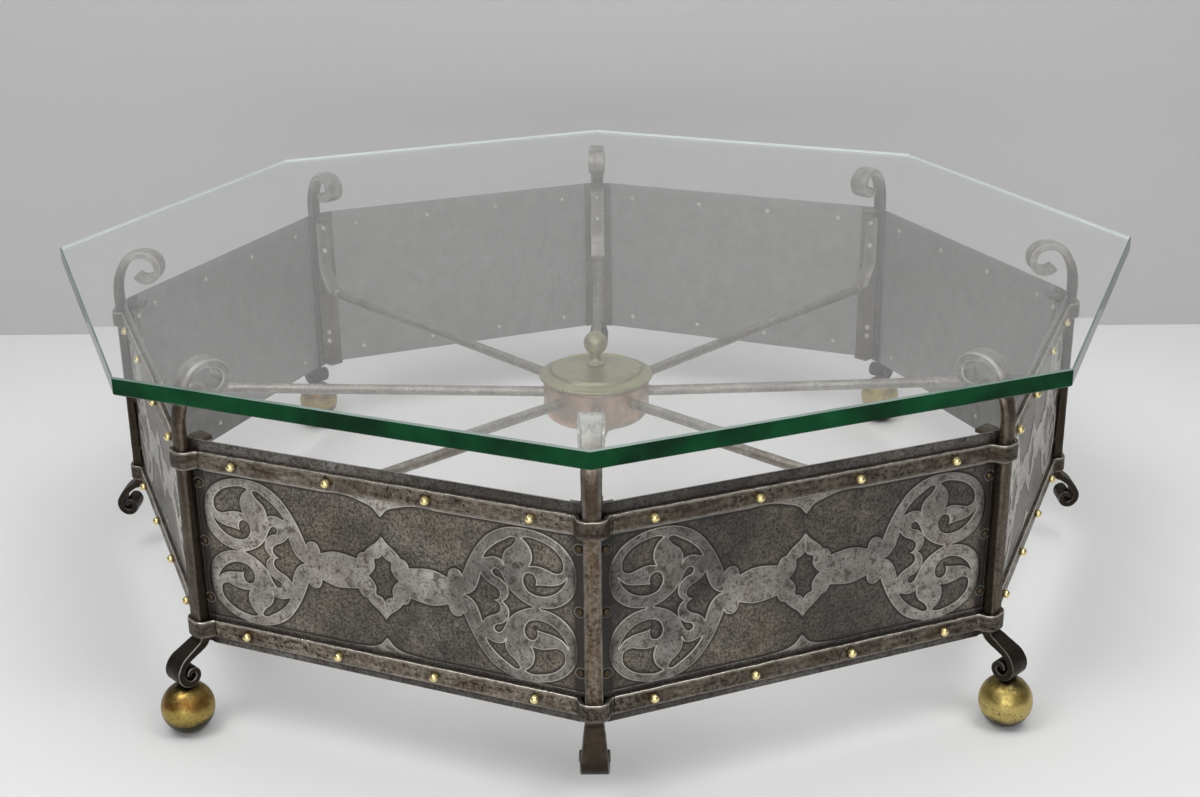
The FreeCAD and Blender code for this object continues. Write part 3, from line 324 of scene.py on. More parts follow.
def walk(start, heading, steps, distance):
    """Points and headings at distances along a line of straight runs and tangent arcs.

    A run is (length, 0) and an arc is (radius, turn), degrees, a left turn positive. On an arc the point
    is the start plus the radius times the change of sine and cosine of the heading.
    """
    points = np.empty((len(distance), 2))
    headings = np.empty(len(distance))
    place = np.array(start, float)
    angle, gone = math.radians(heading), 0.0
    for size, bend in steps:
        length = size if bend == 0 else size * abs(math.radians(bend))
        here = distance >= gone - 1e-9
        passed = np.append(distance[here] - gone, length)
        if bend == 0:
            ways = np.full(len(passed), angle)
            moved = place + passed[:, None] * np.array([math.cos(angle), math.sin(angle)])
        else:
            radius = math.copysign(size, bend)
            ways = angle + passed / radius
            moved = place + radius * np.stack([np.sin(ways) - math.sin(angle),
                                               math.cos(angle) - np.cos(ways)], axis=1)
        points[here], headings[here] = moved[:-1], ways[:-1]
        place, angle, gone = moved[-1], ways[-1], gone + length
    return points, headings


def lengths(steps):
    """Distance at the start and at the end of each step of a line."""
    each = [size if bend == 0 else size * abs(math.radians(bend)) for size, bend in steps]
    return np.concatenate([[0.0], np.cumsum(each)])


def stations(steps, spacing, ease):
    """Distances along a line: spaced on its runs, every few degrees on its arcs, closer at its eased ends."""
    marks = lengths(steps)
    counts = [math.ceil(abs(bend) / ARC_STEP) if bend else math.ceil(size / spacing) for size, bend in steps]
    even = np.concatenate([np.linspace(first, last, count, endpoint=False)
                           for first, last, count in zip(marks, marks[1:], counts)])
    clear = EASE_CLEARANCE * ease
    inner = even[(even > clear) & (even < marks[-1] - clear)]
    rounding = ease * (1 - np.cos(np.linspace(0, math.pi / 2, EASE_POINTS)))
    return np.concatenate([rounding, inner, (marks[-1] - rounding)[::-1]])


def eased(distance, total, ease):
    """How far a bar's sides draw in near its ends: a quarter circle of radius ease."""
    inside = np.clip(np.minimum(distance, total - distance), 0, ease)
    return ease - np.sqrt(np.maximum(ease ** 2 - (ease - inside) ** 2, 0))


print("a line can be walked by runs and arcs")


# %% Carry a section along a line
CORNER_START = 0.4


def bar_section(half_width, half_thickness, easing, arc_points, flat_points):
    """A rectangle with eased corners at each station, and an edge weight for each of its points.

    Each corner is a quarter circle of radius easing, and the flats between are straight. The weight is 0
    on a flat, and rises over a corner from its start to 1 at its middle.
    """
    turns = np.linspace(0, math.pi / 2, arc_points)
    corners = []
    rings = []
    weights = []
    for quarter, (sign_x, sign_y) in enumerate(((1, 1), (-1, 1), (-1, -1), (1, -1))):
        angle = turns + quarter * math.pi / 2
        x = sign_x * (half_width - easing)[:, None] + easing[:, None] * np.cos(angle)
        y = sign_y * (half_thickness - easing)[:, None] + easing[:, None] * np.sin(angle)
        corners.append(np.stack([x, y], axis=-1))
    shares = np.linspace(0, 1, flat_points + 2)[1:-1]
    for quarter, corner in enumerate(corners):
        after = corners[(quarter + 1) % 4][:, :1]
        flat = corner[:, -1:] + (after - corner[:, -1:]) * shares[None, :, None]
        rings += [corner, flat]
        weights += [CORNER_START + (1 - CORNER_START) * np.sin(2 * turns), np.zeros(flat_points)]
    return np.concatenate(rings, axis=1), np.concatenate(weights)


def carry(points, headings, section, first, second, across):
    """A section carried along a flat line.

    A point is the line's place in the plane of first and second, plus the section's second measure along
    the line's left side, plus the section's first measure across the plane.
    """
    left = np.stack([-np.sin(headings), np.cos(headings)], axis=1)
    flat = points[:, None, :] + section[:, :, 1:] * left[:, None, :]
    return flat[..., :1] * first + flat[..., 1:] * second + section[..., :1] * across


def tube_faces(rows, columns):
    """Faces of a grid that closes round its columns, with a pole point before and after it."""
    index = 1 + np.arange(rows * columns).reshape(rows, columns)
    beside = np.roll(index, -1, axis=1)
    quads = np.stack([index[:-1], beside[:-1], beside[1:], index[1:]], axis=-1).reshape(-1, 4)
    last = np.full(columns, rows * columns + 1)
    caps = np.concatenate([np.stack([np.zeros(columns, int), beside[0], index[0]], axis=-1),
                           np.stack([last, index[-1], beside[-1]], axis=-1)])
    return [quads, caps]


def with_poles(grid):
    """A grid's points in one list, with the middle of its first and last ring before and after."""
    return np.concatenate([grid[:1].mean(axis=1), grid.reshape(-1, 3), grid[-1:].mean(axis=1)])


print("a section can be carried along a line")


# %% Make a piece of the arrays
HAMMER_WAVES = ((23 * MM, 1.0), (57 * MM, 1.3), (11 * MM, 0.5))


def make_piece(name, points, face_sets, finish, body="base", numbers=None, smooth=None):
    """A mesh from whole arrays, with its finish and its own numbers, riding on a body.

    The faces come in sets of one number of corners each, and smooth says for each set how it is shaded.
    """
    mesh = bpy.data.meshes.new(name)
    corners = np.concatenate([faces.ravel() for faces in face_sets]).astype(np.int32)
    sizes = np.concatenate([np.full(len(faces), faces.shape[1]) for faces in face_sets])
    mesh.vertices.add(len(points))
    mesh.vertices.foreach_set("co", points.astype(np.float32).ravel())
    mesh.loops.add(len(corners))
    mesh.loops.foreach_set("vertex_index", corners)
    mesh.polygons.add(len(sizes))
    mesh.polygons.foreach_set("loop_start", np.append(0, np.cumsum(sizes)[:-1]).astype(np.int32))
    kinds = smooth or (True,) * len(face_sets)
    shading = np.repeat(kinds, [len(faces) for faces in face_sets])
    mesh.polygons.foreach_set("use_smooth", shading)
    for label, values in (numbers or {}).items():
        mesh.attributes.new(label, "FLOAT", "POINT").data.foreach_set("value", values.astype(np.float32))
    mesh.update(calc_edges=True)
    mesh.validate()
    mesh.materials.append(finish)
    piece = bpy.data.objects.new(name, mesh)
    bpy.context.scene.collection.objects.link(piece)
    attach(piece, body)
    return piece


def bar_numbers(distance, section, seed, edge, soot_and_shade):
    """Each point's place along and around its bar in metres, its edge wear with any painted highlight, and
    its soot with any painted shade, also at the poles.

    The place along is shifted by the seed, so that no two bars have the same streaks. The place around is
    the length of the section's outline up to the point, at the middle of the bar.
    """
    around = np.linalg.norm(np.diff(section[len(section) // 2], axis=0), axis=1).cumsum()
    grids = {"along": seed + distance[:, None], "around": np.append(0.0, around), "edge": edge, "soot_and_shade": soot_and_shade}
    wide = {label: np.broadcast_to(values, section.shape[:2]).ravel() for label, values in grids.items()}
    return {label: np.concatenate([values[:1], values, values[-1:]]) for label, values in wide.items()}


def hammered(distance, seed, depth):
    """Slow unevenness along a hand-worked bar: three waves of unlike length added together."""
    return depth * sum(size * np.sin(2 * math.pi * distance / length + seed * (3.1 + 1.7 * order))
                       for order, (length, size) in enumerate(HAMMER_WAVES))


print("pieces can be made and carry their own numbers")

# %% [markdown]
# ## Forged iron
#
# The posts, rails, spokes and straps are iron bar, burnished to a brown grey, with rust in the hollows
# and brighter metal on the worn edges. A single colour would look like paint. Drawing and rubbing leave
# streaks along a bar, so one noise reads the bar's own places along and around it and is stretched
# lengthwise. Mottling, rust patches and black pits come from Object coordinates, and the edge weight adds
# the wear. Each bar's own numbers also add soot, with painted shade on posts and rails. On the scroll tops
# and the rails' upper edges the wear is partly a painted highlight.

# %% Mix the iron
# One brown for soot and for painted shade.
SOOT_AND_SHADE_BROWN = (0.023, 0.0170, 0.0125, 1.0)
PIT_BLACK = (0.026, 0.019, 0.014, 1.0)
STREAK_STRETCH = 0.16
EDGE_POLISH = 0.2
IRON_BUMP = 0.45 * MM
IRON_METAL = 0.92


def iron_finish(name, light, dark, rust, wear, pitting):
    """Burnished bar: streaks and mottling between two tones, rust, black pits, soot with painted shade, and
    worn edges with some painted highlight.
    """
    finish, tree, shader, places = new_finish(name)
    edge = own(tree, "edge")
    lengthwise = sums(tree, "MULTIPLY", own(tree, "along"), STREAK_STRETCH)
    drawn = add(tree, "CombineXYZ", {"X": lengthwise, "Y": own(tree, "around")}).outputs[0]
    streaks = noise(tree, drawn, 240.0, 6.0, 0.75)
    mottling = noise(tree, places, 210.0, 4.0, 0.7)
    base = blend(tree, span(tree, sums(tree, "ADD", streaks, mottling), 0.78, 1.30), dark, light)
    rusty = span(tree, noise(tree, places, 24.0, 6.0, 0.7), 0.45, 0.66, 0.0, 0.85)
    rusted = blend(tree, rusty, base, rust)
    clusters = span(tree, noise(tree, places, 16.0, 3.0), 0.40, 0.66, 0.12, -0.03)
    pit_field = sums(tree, "SUBTRACT", noise(tree, places, 250.0, 2.0, 0.5), clusters)
    pits = span(tree, pit_field, 0.53, 0.63, 0.0, pitting)
    pitted = blend(tree, pits, rusted, PIT_BLACK)
    # Soot darkens the bar, and on posts and rails painted shade darkens it too.
    sooted_and_shaded = blend(tree, own(tree, "soot_and_shade"), pitted, SOOT_AND_SHADE_BROWN)
    patches = span(tree, noise(tree, places, 90.0, 4.0), 0.32, 0.64, 0.25, 1.0)
    rubbed = sums(tree, "MAXIMUM", patches, span(tree, edge, 0.3, 0.5, 0.0, 0.95))
    colour = blend(tree, sums(tree, "MULTIPLY", edge, rubbed), sooted_and_shaded, wear)
    uneven = span(tree, noise(tree, places, 120.0, 4.0), 0.3, 0.7, 0.36, 0.56)
    rough = sums(tree, "SUBTRACT", uneven, sums(tree, "MULTIPLY", edge, EDGE_POLISH))
    grain = sums(tree, "ADD", noise(tree, places, 260.0, 4.0, 0.65), sums(tree, "MULTIPLY", pits, -0.6))
    feed(tree, shader, colour, rough, grain, IRON_BUMP)
    shader.inputs["Metallic"].default_value = IRON_METAL
    return finish


post_iron = iron_finish("burnished_post_iron", (0.28, 0.230, 0.174, 1), (0.062, 0.046, 0.031, 1),
                        (0.080, 0.045, 0.023, 1), (0.82, 0.81, 0.765, 1), 0.6)
rail_iron = iron_finish("worn_rail_iron", (0.43, 0.378, 0.314, 1), (0.044, 0.033, 0.024, 1),
                        (0.062, 0.037, 0.023, 1), (0.74, 0.69, 0.62, 1), 0.85)
spoke_iron = iron_finish("grey_spoke_iron", (0.54, 0.51, 0.465, 1), (0.25, 0.225, 0.195, 1),
                         (0.23, 0.205, 0.178, 1), (0.60, 0.57, 0.52, 1), 0.12)
strap_iron = iron_finish("dull_strap_iron", (0.19, 0.165, 0.140, 1), (0.095, 0.080, 0.065, 1),
                         (0.085, 0.058, 0.040, 1), (0.40, 0.38, 0.35, 1), 0.4)
print("iron is mixed")

# %% [markdown]
# ## Posts
#
# Each post is one round-fronted bar. A smith draws its ends out thin and wide, rolls the top inwards into
# a scroll and the bottom outwards into a foot. The section is carried up one line from the rolled foot to
# the rolled scroll, and it widens where the solid does. Slow unevenness keeps the bars from looking milled.
# Soot gathers in the foot and on the neck, where no hand rubs it off. Above each rail the bar is darker
# with soot and painted shade, and its flanks beside the panels carry painted shade. The scroll's top is
# burnished and partly painted lighter as a highlight, most on the front post.

# %% Lay out the line of a post
POST_WIDTH, POST_THICKNESS = 18 * MM, 12 * MM
NECK_WIDTH, NECK_LENGTH = 20.2 * MM, 40 * MM
SCROLL_WIDTH, SCROLL_THICKNESS, SCROLL_FLARE = 28 * MM, 9 * MM, 57 * MM
SCROLL_BENDS = ((68 * MM, 33), (27 * MM, 80), (15.7 * MM, 209))
FOOT_THICKNESS, FOOT_END_THICKNESS = 8 * MM, 5 * MM
FOOT_END_WIDTH, FOOT_HEEL_WIDTH = 31 * MM, 27 * MM
FOOT_BEND, FOOT_HEEL = (9 * MM, 65), (12.5 * MM, -73)
FOOT_ROLL = ((9 * MM, -130), (6.5 * MM, -90), (4.5 * MM, -110))
BALL_SWEEP, PLAIN_SWEEP, PLAIN_NECK = (22 * MM, -42), (38 * MM, -42), 2 * MM
FOOT_GAP = 1.25 * MM
BALL_CORNERS = ("back_right", "back_left", "front_left", "front_right")
FOOT_START = RAIL_SPANS["bottom"][0] - FOOT_GAP
SCROLL_TOP = reach("post_front", UP)[1]
NECK_LOW = RAIL_SPANS["top"][1]


def foot_line(corner):
    """The foot's steps: bend out, neck, sweep down, heel and roll; a ball foot's neck reaches its ball."""
    if corner not in BALL_CORNERS:
        return FOOT_BEND, (PLAIN_NECK, 0), PLAIN_SWEEP, FOOT_HEEL, *FOOT_ROLL
    bare = (FOOT_BEND, BALL_SWEEP, FOOT_HEEL, *FOOT_ROLL)
    bare_drop = -walk((0, 0), -90, bare, np.linspace(0, lengths(bare)[-1], 2000))[0][:, 1].min()
    drop = FOOT_START - reach(f"post_{corner}", UP)[0] - FOOT_THICKNESS / 2
    neck = (drop - bare_drop) / math.cos(math.radians(FOOT_BEND[1]))
    return FOOT_BEND, (neck, 0), BALL_SWEEP, FOOT_HEEL, *FOOT_ROLL


def scroll_line():
    """The scroll's steps: the straight shaft up from the foot, then lead, crown and curl."""
    (lead_radius, lead_turn), (crown_radius, crown_turn) = SCROLL_BENDS[:2]
    lead = math.radians(lead_turn)
    middle = (POST_THICKNESS + SCROLL_THICKNESS) / 2
    top_half = (middle + (SCROLL_THICKNESS - middle) * (90 - lead_turn) / crown_turn) / 2
    rise = lead_radius * math.sin(lead) + crown_radius * (1 - math.sin(lead)) + top_half
    return ((SCROLL_TOP - rise - FOOT_START, 0),) + SCROLL_BENDS


print(f"scroll top at {SCROLL_TOP:.4f} m, foot bend starts at {FOOT_START:.4f} m")


# %% Size the section along a post
BAR_EASE, STRAP_EASE, END_EASE = 4.6 * MM, 1.3 * MM, 1.8 * MM
EASE_LEAD = 15 * MM


def post_sizes(distance, places, marks, foot_steps):
    """Width, thickness and corner radius along a post, between knots at the bends of its line.

    The thickness and the foot's width follow the distance, the neck's width the height, and the scroll's
    width how far it leans in from the post.
    """
    bent, heel = foot_steps, foot_steps - len(FOOT_ROLL) - 1
    half_drawn = (POST_THICKNESS + FOOT_THICKNESS) / 2
    half_thinned = (POST_THICKNESS + SCROLL_THICKNESS) / 2
    thickness = np.interp(distance, marks[[0, heel, bent - 2, bent - 1, bent, bent + 1, bent + 2, bent + 3]],
                          [FOOT_END_THICKNESS, FOOT_THICKNESS, FOOT_THICKNESS, half_drawn, POST_THICKNESS,
                           POST_THICKNESS, half_thinned, SCROLL_THICKNESS])
    inner_face = CORNER_RADIUS - POST_THICKNESS / 2
    wide_scroll = np.interp(places[:, 0], [inner_face - SCROLL_FLARE, inner_face], [SCROLL_WIDTH, POST_WIDTH])
    wide_neck = np.interp(places[:, 1], [NECK_LOW, NECK_LOW + NECK_LENGTH], [POST_WIDTH, NECK_WIDTH])
    wide_foot = np.interp(distance, marks[[0, heel + 1, bent]],
                          [FOOT_END_WIDTH, FOOT_HEEL_WIDTH, POST_WIDTH])
    easing = np.interp(distance, np.append(marks[bent] - EASE_LEAD, marks[bent + 1:bent + 4]),
                       [STRAP_EASE, BAR_EASE, BAR_EASE, STRAP_EASE])
    return np.maximum.reduce([wide_scroll, wide_neck, wide_foot]), thickness, easing


print(f"a post is {POST_WIDTH / MM:.0f} by {POST_THICKNESS / MM:.0f} mm in its shaft")

# %% Darken a post with soot and painted shade
POST_SOOT = {"front": 0.0, "front_left": 0.48, "front_right": 0.36, "others": 0.25}
# Soot in the foot and on the neck, soot and painted shade above the rails, painted shade on the flanks.
FOOT_SOOT, LEDGE_SOOT_AND_SHADE, FLANK_SHADE, NECK_SOOT = 0.93, 0.85, 0.85, 0.5
FOOT_FADE_LOW, FOOT_FADE_HIGH = -8 * MM, 25 * MM
LEDGE_FADE = 3.5 * MM
NECK_FADE_LOW, NECK_FADE_HIGH = 2 * MM, 10 * MM
FLANK_START = 0.7


def for_corner(values, corner):
    """A corner's own value, or the one that the other corners share."""
    return values.get(corner, values["others"])


def post_soot_and_shade(corner, height, across):
    """Soot and painted shade on a post by height and across: sooted foot and neck, soot and painted shade
    above rails, and painted shade on the flanks.
    """
    in_foot = np.interp(height, [FOOT_START + FOOT_FADE_LOW, FOOT_START + FOOT_FADE_HIGH], [1.0, 0.0])
    # Above each rail: soot, and painted shade in the gap above the collar.
    ledges = [np.where(height > high, np.exp(-np.maximum(height - high, 0) / LEDGE_FADE), 0)
              for low, high in RAIL_SPANS.values()]
    neck_high = NECK_LOW + NECK_LENGTH
    on_neck = np.interp(height, [NECK_LOW - NECK_FADE_LOW, NECK_LOW, neck_high, neck_high + NECK_FADE_HIGH],
                        [0.0, 1.0, 1.0, 0.0])
    along = np.maximum.reduce([FOOT_SOOT * in_foot, LEDGE_SOOT_AND_SHADE * np.max(ledges, axis=0), NECK_SOOT * on_neck,
                               np.full(len(height), for_corner(POST_SOOT, corner))])
    # Painted shade on the flanks that face the panels.
    beside_panel = (height > RAIL_SPANS["bottom"][0]) & (height < NECK_LOW)
    flank_shade = np.clip((across - FLANK_START) / (1 - FLANK_START), 0, 1) * beside_panel[:, None]
    return np.maximum(along[:, None], FLANK_SHADE * flank_shade), in_foot


print(f"soot above a rail fades over {LEDGE_FADE / MM:.1f} mm")

# %% Forge the posts
POST_SPACING = 6 * MM
WIDTH_UNEVEN, THICKNESS_UNEVEN = 0.08 * MM, 0.06 * MM
BELLY = 0.34
EDGE_WEAR = {"front": 0.2, "others": 0.06}
FOOT_WEAR = {"front_left": 0.38, "front": 0.25, "others": 0.16}
# The scroll's burnish is partly a painted highlight, strongest on the front post.
SCROLL_WEAR_AND_HIGHLIGHT = {"front": 0.96, "others": 0.45}
CROWN_FADE_LOW, CROWN_FADE_HIGH = 15 * MM, 12 * MM
CURL_WEAR_AND_HIGHLIGHT, SCROLL_EDGE_WEAR = 0.7, 0.45


def forge_post(corner, angle, seed):
    """One post: the foot's line walked backwards from its rolled end, then on up the scroll's line."""
    lower, upper = foot_line(corner), scroll_line()
    foot_end, foot_way = walk((CORNER_RADIUS, FOOT_START), -90, lower, lengths(lower)[-1:])
    steps = tuple((size, -bend) for size, bend in reversed(lower)) + upper
    marks = lengths(steps)
    distance = stations(steps, POST_SPACING, END_EASE)
    places, headings = walk(foot_end[0], math.degrees(foot_way[0]) + 180, steps, distance)
    width, thickness, easing = post_sizes(distance, places, marks, len(lower))
    drawn_in = eased(distance, marks[-1], END_EASE)
    half_width = width / 2 - drawn_in + hammered(distance, seed, WIDTH_UNEVEN)
    half_thickness = thickness / 2 - drawn_in + hammered(distance, seed + 2, THICKNESS_UNEVEN)
    corner_radius = np.minimum(easing, 0.9 * half_thickness)
    section, edge = bar_section(half_width, half_thickness, corner_radius, arc_points=6, flat_points=5)
    across = np.abs(section[..., 0]) / half_width[:, None]
    belly = BELLY * (easing - STRAP_EASE) / (BAR_EASE - STRAP_EASE)
    section[..., 1] *= 1 - belly[:, None] * across ** 2
    grid = carry(places, headings, section, outward(angle), UP, sideways(angle))
    crown_start, scroll_end = marks[-3], marks[-1]
    on_scroll = np.interp(distance, [crown_start - CROWN_FADE_LOW, crown_start + CROWN_FADE_HIGH, scroll_end],
                          [0.0, 1.0, CURL_WEAR_AND_HIGHLIGHT])
    # The scroll's crown is burnished and partly painted lighter as a highlight where it faces the lamps
    # overhead.
    burnish_and_highlight = for_corner(SCROLL_WEAR_AND_HIGHLIGHT, corner) * on_scroll[:, None]
    soot_and_shade, in_foot = post_soot_and_shade(corner, places[:, 1], across)
    wear = np.interp(in_foot, [0, 1], [for_corner(EDGE_WEAR, corner), for_corner(FOOT_WEAR, corner)])
    corner_share = np.maximum(edge - edge[0], 0) / (1 - edge[0])
    on_edges = np.multiply.outer(wear, corner_share)
    # The edge weight holds the edges' wear together with the scroll's burnish and painted highlight.
    worn = np.minimum(np.maximum(on_edges, burnish_and_highlight * (1 + SCROLL_EDGE_WEAR * corner_share)), 1.0)
    post = make_piece(f"forged_post_{corner}", with_poles(grid), tube_faces(*grid.shape[:2]), post_iron,
                      numbers=bar_numbers(distance, section, seed, worn, soot_and_shade * (1 - burnish_and_highlight)))
    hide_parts(f"post_{corner}")


for number, (corner, angle) in enumerate(CORNERS.items()):
    forge_post(corner, angle, number)
print(f"{len(CORNERS)} posts are forged, with {lengths(scroll_line())[-1]:.3f} m of bar above each foot")

# %% [markdown]
# ## Rails
#
# Two flat bands run along each side, one above the other, and each bends outwards round the next post as
# a collar. The band is long, so it is easiest to carry one small section along the bent line, flat first
# and then round the collar. The upper edge is rubbed bright by hands and partly painted lighter as a
# highlight where it faces the light from above, so its wear is set higher there. The collars are sooted,
# and round each rivet the band has soot and painted shade.

# %% Lay out the line of a rail
RAIL_THICKNESS = 4 * MM
COLLAR_FRONT, COLLAR_CORNER, COLLAR_ROOT = 8 * MM, 9.5 * MM, 7 * MM
COLLAR_LEAN = 15
FIT_GAP = 0.2 * MM
RAIL_MIDDLE = PANEL_FACE + RAIL_THICKNESS / 2


def rail_line():
    """Start and steps of a rail: along its flat, out along a flank, round the post's front and back."""
    lean = math.radians(COLLAR_LEAN)
    front = CORNER_RADIUS + POST_THICKNESS / 2 + FIT_GAP + RAIL_THICKNESS / 2
    out = (front - COLLAR_CORNER * (1 - math.sin(lean))
           - COLLAR_ROOT * (math.cos(HALF_ANGLE) - math.sin(lean)))
    across = (COLLAR_FRONT / 2 + COLLAR_CORNER * math.cos(lean)
              + COLLAR_ROOT * (math.cos(lean) - math.sin(HALF_ANGLE)))
    short = out * math.cos(HALF_ANGLE) + across * math.sin(HALF_ANGLE) - RAIL_MIDDLE
    flank = short / math.cos(lean + HALF_ANGLE)
    root_place = (across + flank * math.sin(lean)) / math.cos(HALF_ANGLE)
    flat_half = RAIL_MIDDLE * math.tan(HALF_ANGLE) - root_place
    flat = (2 * flat_half - FIT_GAP, 0)
    root = (COLLAR_ROOT, COLLAR_LEAN - 67.5)
    side = (flank, 0)
    corner = (COLLAR_CORNER, 90 - COLLAR_LEAN)
    front_run = (COLLAR_FRONT, 0)
    return (RAIL_MIDDLE, FIT_GAP - flat_half), (flat, root, side, corner, front_run, corner, side, root)


print(f"a rail takes {lengths(rail_line()[1])[-1]:.3f} m of band")

# %% Bend the rails
RAIL_EASE, RAIL_SPACING = 0.9 * MM, 3 * MM
HEIGHT_UNEVEN, BAND_UNEVEN = 0.10 * MM, 0.04 * MM
# The lower edge wears less; the upper edge's extra is partly a painted highlight.
LOWER_EDGE_WEAR = 0.55
RIVET_INSET = 51.4 * MM
RIVET_END = PANEL_HALF - RIVET_INSET
RIVET_ALONGS = np.linspace(-RIVET_END, RIVET_END, 4)
RAIL_SOOT = {"top_front_right": 0.58, "bottom_front_right": 0.5, "top_front_left": 0.2,
             "bottom_front_left": 0.0, "others": 0.08}
# Soot on the collars; soot and painted shade round the rivets.
COLLAR_SOOT, RIVET_SOOT_AND_SHADE = 0.65, 0.9
RIVET_SOOT_AND_SHADE_START, RIVET_SOOT_AND_SHADE_FADE = 4 * MM, 2.4 * MM


def bend_rail(level, side, angle, seed):
    """One rail: its section, tall and thin, carried along the rail's line at its own height."""
    start, steps = rail_line()
    total = lengths(steps)[-1]
    distance = stations(steps, RAIL_SPACING, RAIL_EASE)
    places, headings = walk(start, 90, steps, distance)
    low, high = RAIL_SPANS[level]
    drawn_in = eased(distance, total, RAIL_EASE)
    half_height = (high - low) / 2 - drawn_in + hammered(distance, seed, HEIGHT_UNEVEN)
    half_thickness = RAIL_THICKNESS / 2 - drawn_in + hammered(distance, seed + 3, BAND_UNEVEN)
    corner_radius = np.full(len(distance), 0.98 * RAIL_EASE)
    section, edge = bar_section(half_height, half_thickness, corner_radius, arc_points=4, flat_points=6)
    grid = carry(places, headings, section, outward(angle), sideways(angle), -UP) + RAIL_MIDDLES[level] * UP
    # The upper edge's wear is partly a painted highlight where it faces the light from above.
    upper = np.where(section[0, :, 0] < 0, 1.0, LOWER_EDGE_WEAR)
    beside_rivets = np.abs(places[:, 1:] - RIVET_ALONGS).min(axis=1)[:, None]
    from_rivet = np.hypot(beside_rivets, section[..., 0])
    on_collar = np.interp(distance, lengths(steps)[1:3], [0.0, COLLAR_SOOT])[:, None]
    # Round each rivet the band is darkened by soot and by painted shade at the foot of the head.
    rivet_soot_and_shade = RIVET_SOOT_AND_SHADE * np.exp(-np.maximum(from_rivet - RIVET_SOOT_AND_SHADE_START, 0) / RIVET_SOOT_AND_SHADE_FADE)
    all_over = RAIL_SOOT.get(f"{level}_{side}", RAIL_SOOT["others"])
    rail_soot_and_shade = np.maximum(np.maximum(rivet_soot_and_shade, on_collar), all_over)
    rail = make_piece(f"bent_{level}_rail_{side}", with_poles(grid), tube_faces(*grid.shape[:2]), rail_iron,
                      numbers=bar_numbers(distance, section, seed, edge * upper, rail_soot_and_shade))
    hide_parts(f"{level}_rail_{side}")


for number, (side, angle) in enumerate(SIDES.items()):
    for level in RAIL_SPANS:
        bend_rail(level, side, angle, number + len(level))
print(f"{len(RAIL_SPANS) * len(SIDES)} rails are bent")

# %% [markdown]
# ## The pattern on the panels
#
# The sheets were etched: an interlaced strap pattern stayed up while acid ate the ground a little lower.
# The strap is the same in all four quarters, so it is drawn once, as smooth lines through a few points in
# millimetres from the pattern's middle. A signed distance to these lines then says for any point whether
# it is on the strap or on the ground, and how far from the edge. That is easier to shape than loose lines.

# %% Draw one quarter of the pattern
def outline(start, *strokes):
    """A closed line: each stroke is a smooth curve from the end of the one before, with a corner between.

    Between two points the curve is a cubic whose slope at each point comes from its neighbours.
    """
    drawn = []
    for stroke in strokes:
        points = np.array([start, *stroke], float)
        gaps = np.linalg.norm(np.diff(points, axis=0), axis=1)
        marks = np.append(0.0, np.cumsum(gaps))
        slopes = np.gradient(points, marks, axis=0, edge_order=min(2, len(points) - 1))
        wanted = np.linspace(0, marks[-1], 6 * len(gaps) + 1)[:-1]
        index = np.clip(np.searchsorted(marks, wanted, "right") - 1, 0, len(gaps) - 1)
        length = gaps[index][:, None]
        share = (wanted - marks[index])[:, None] / length
        rise = share ** 2 * (3 - 2 * share)
        bulge = length * share * (1 - share) * ((1 - share) * slopes[index] - share * slopes[index + 1])
        drawn.append(points[index] + rise * (points[index + 1] - points[index]) + bulge)
        start = stroke[-1]
    return np.concatenate(drawn)


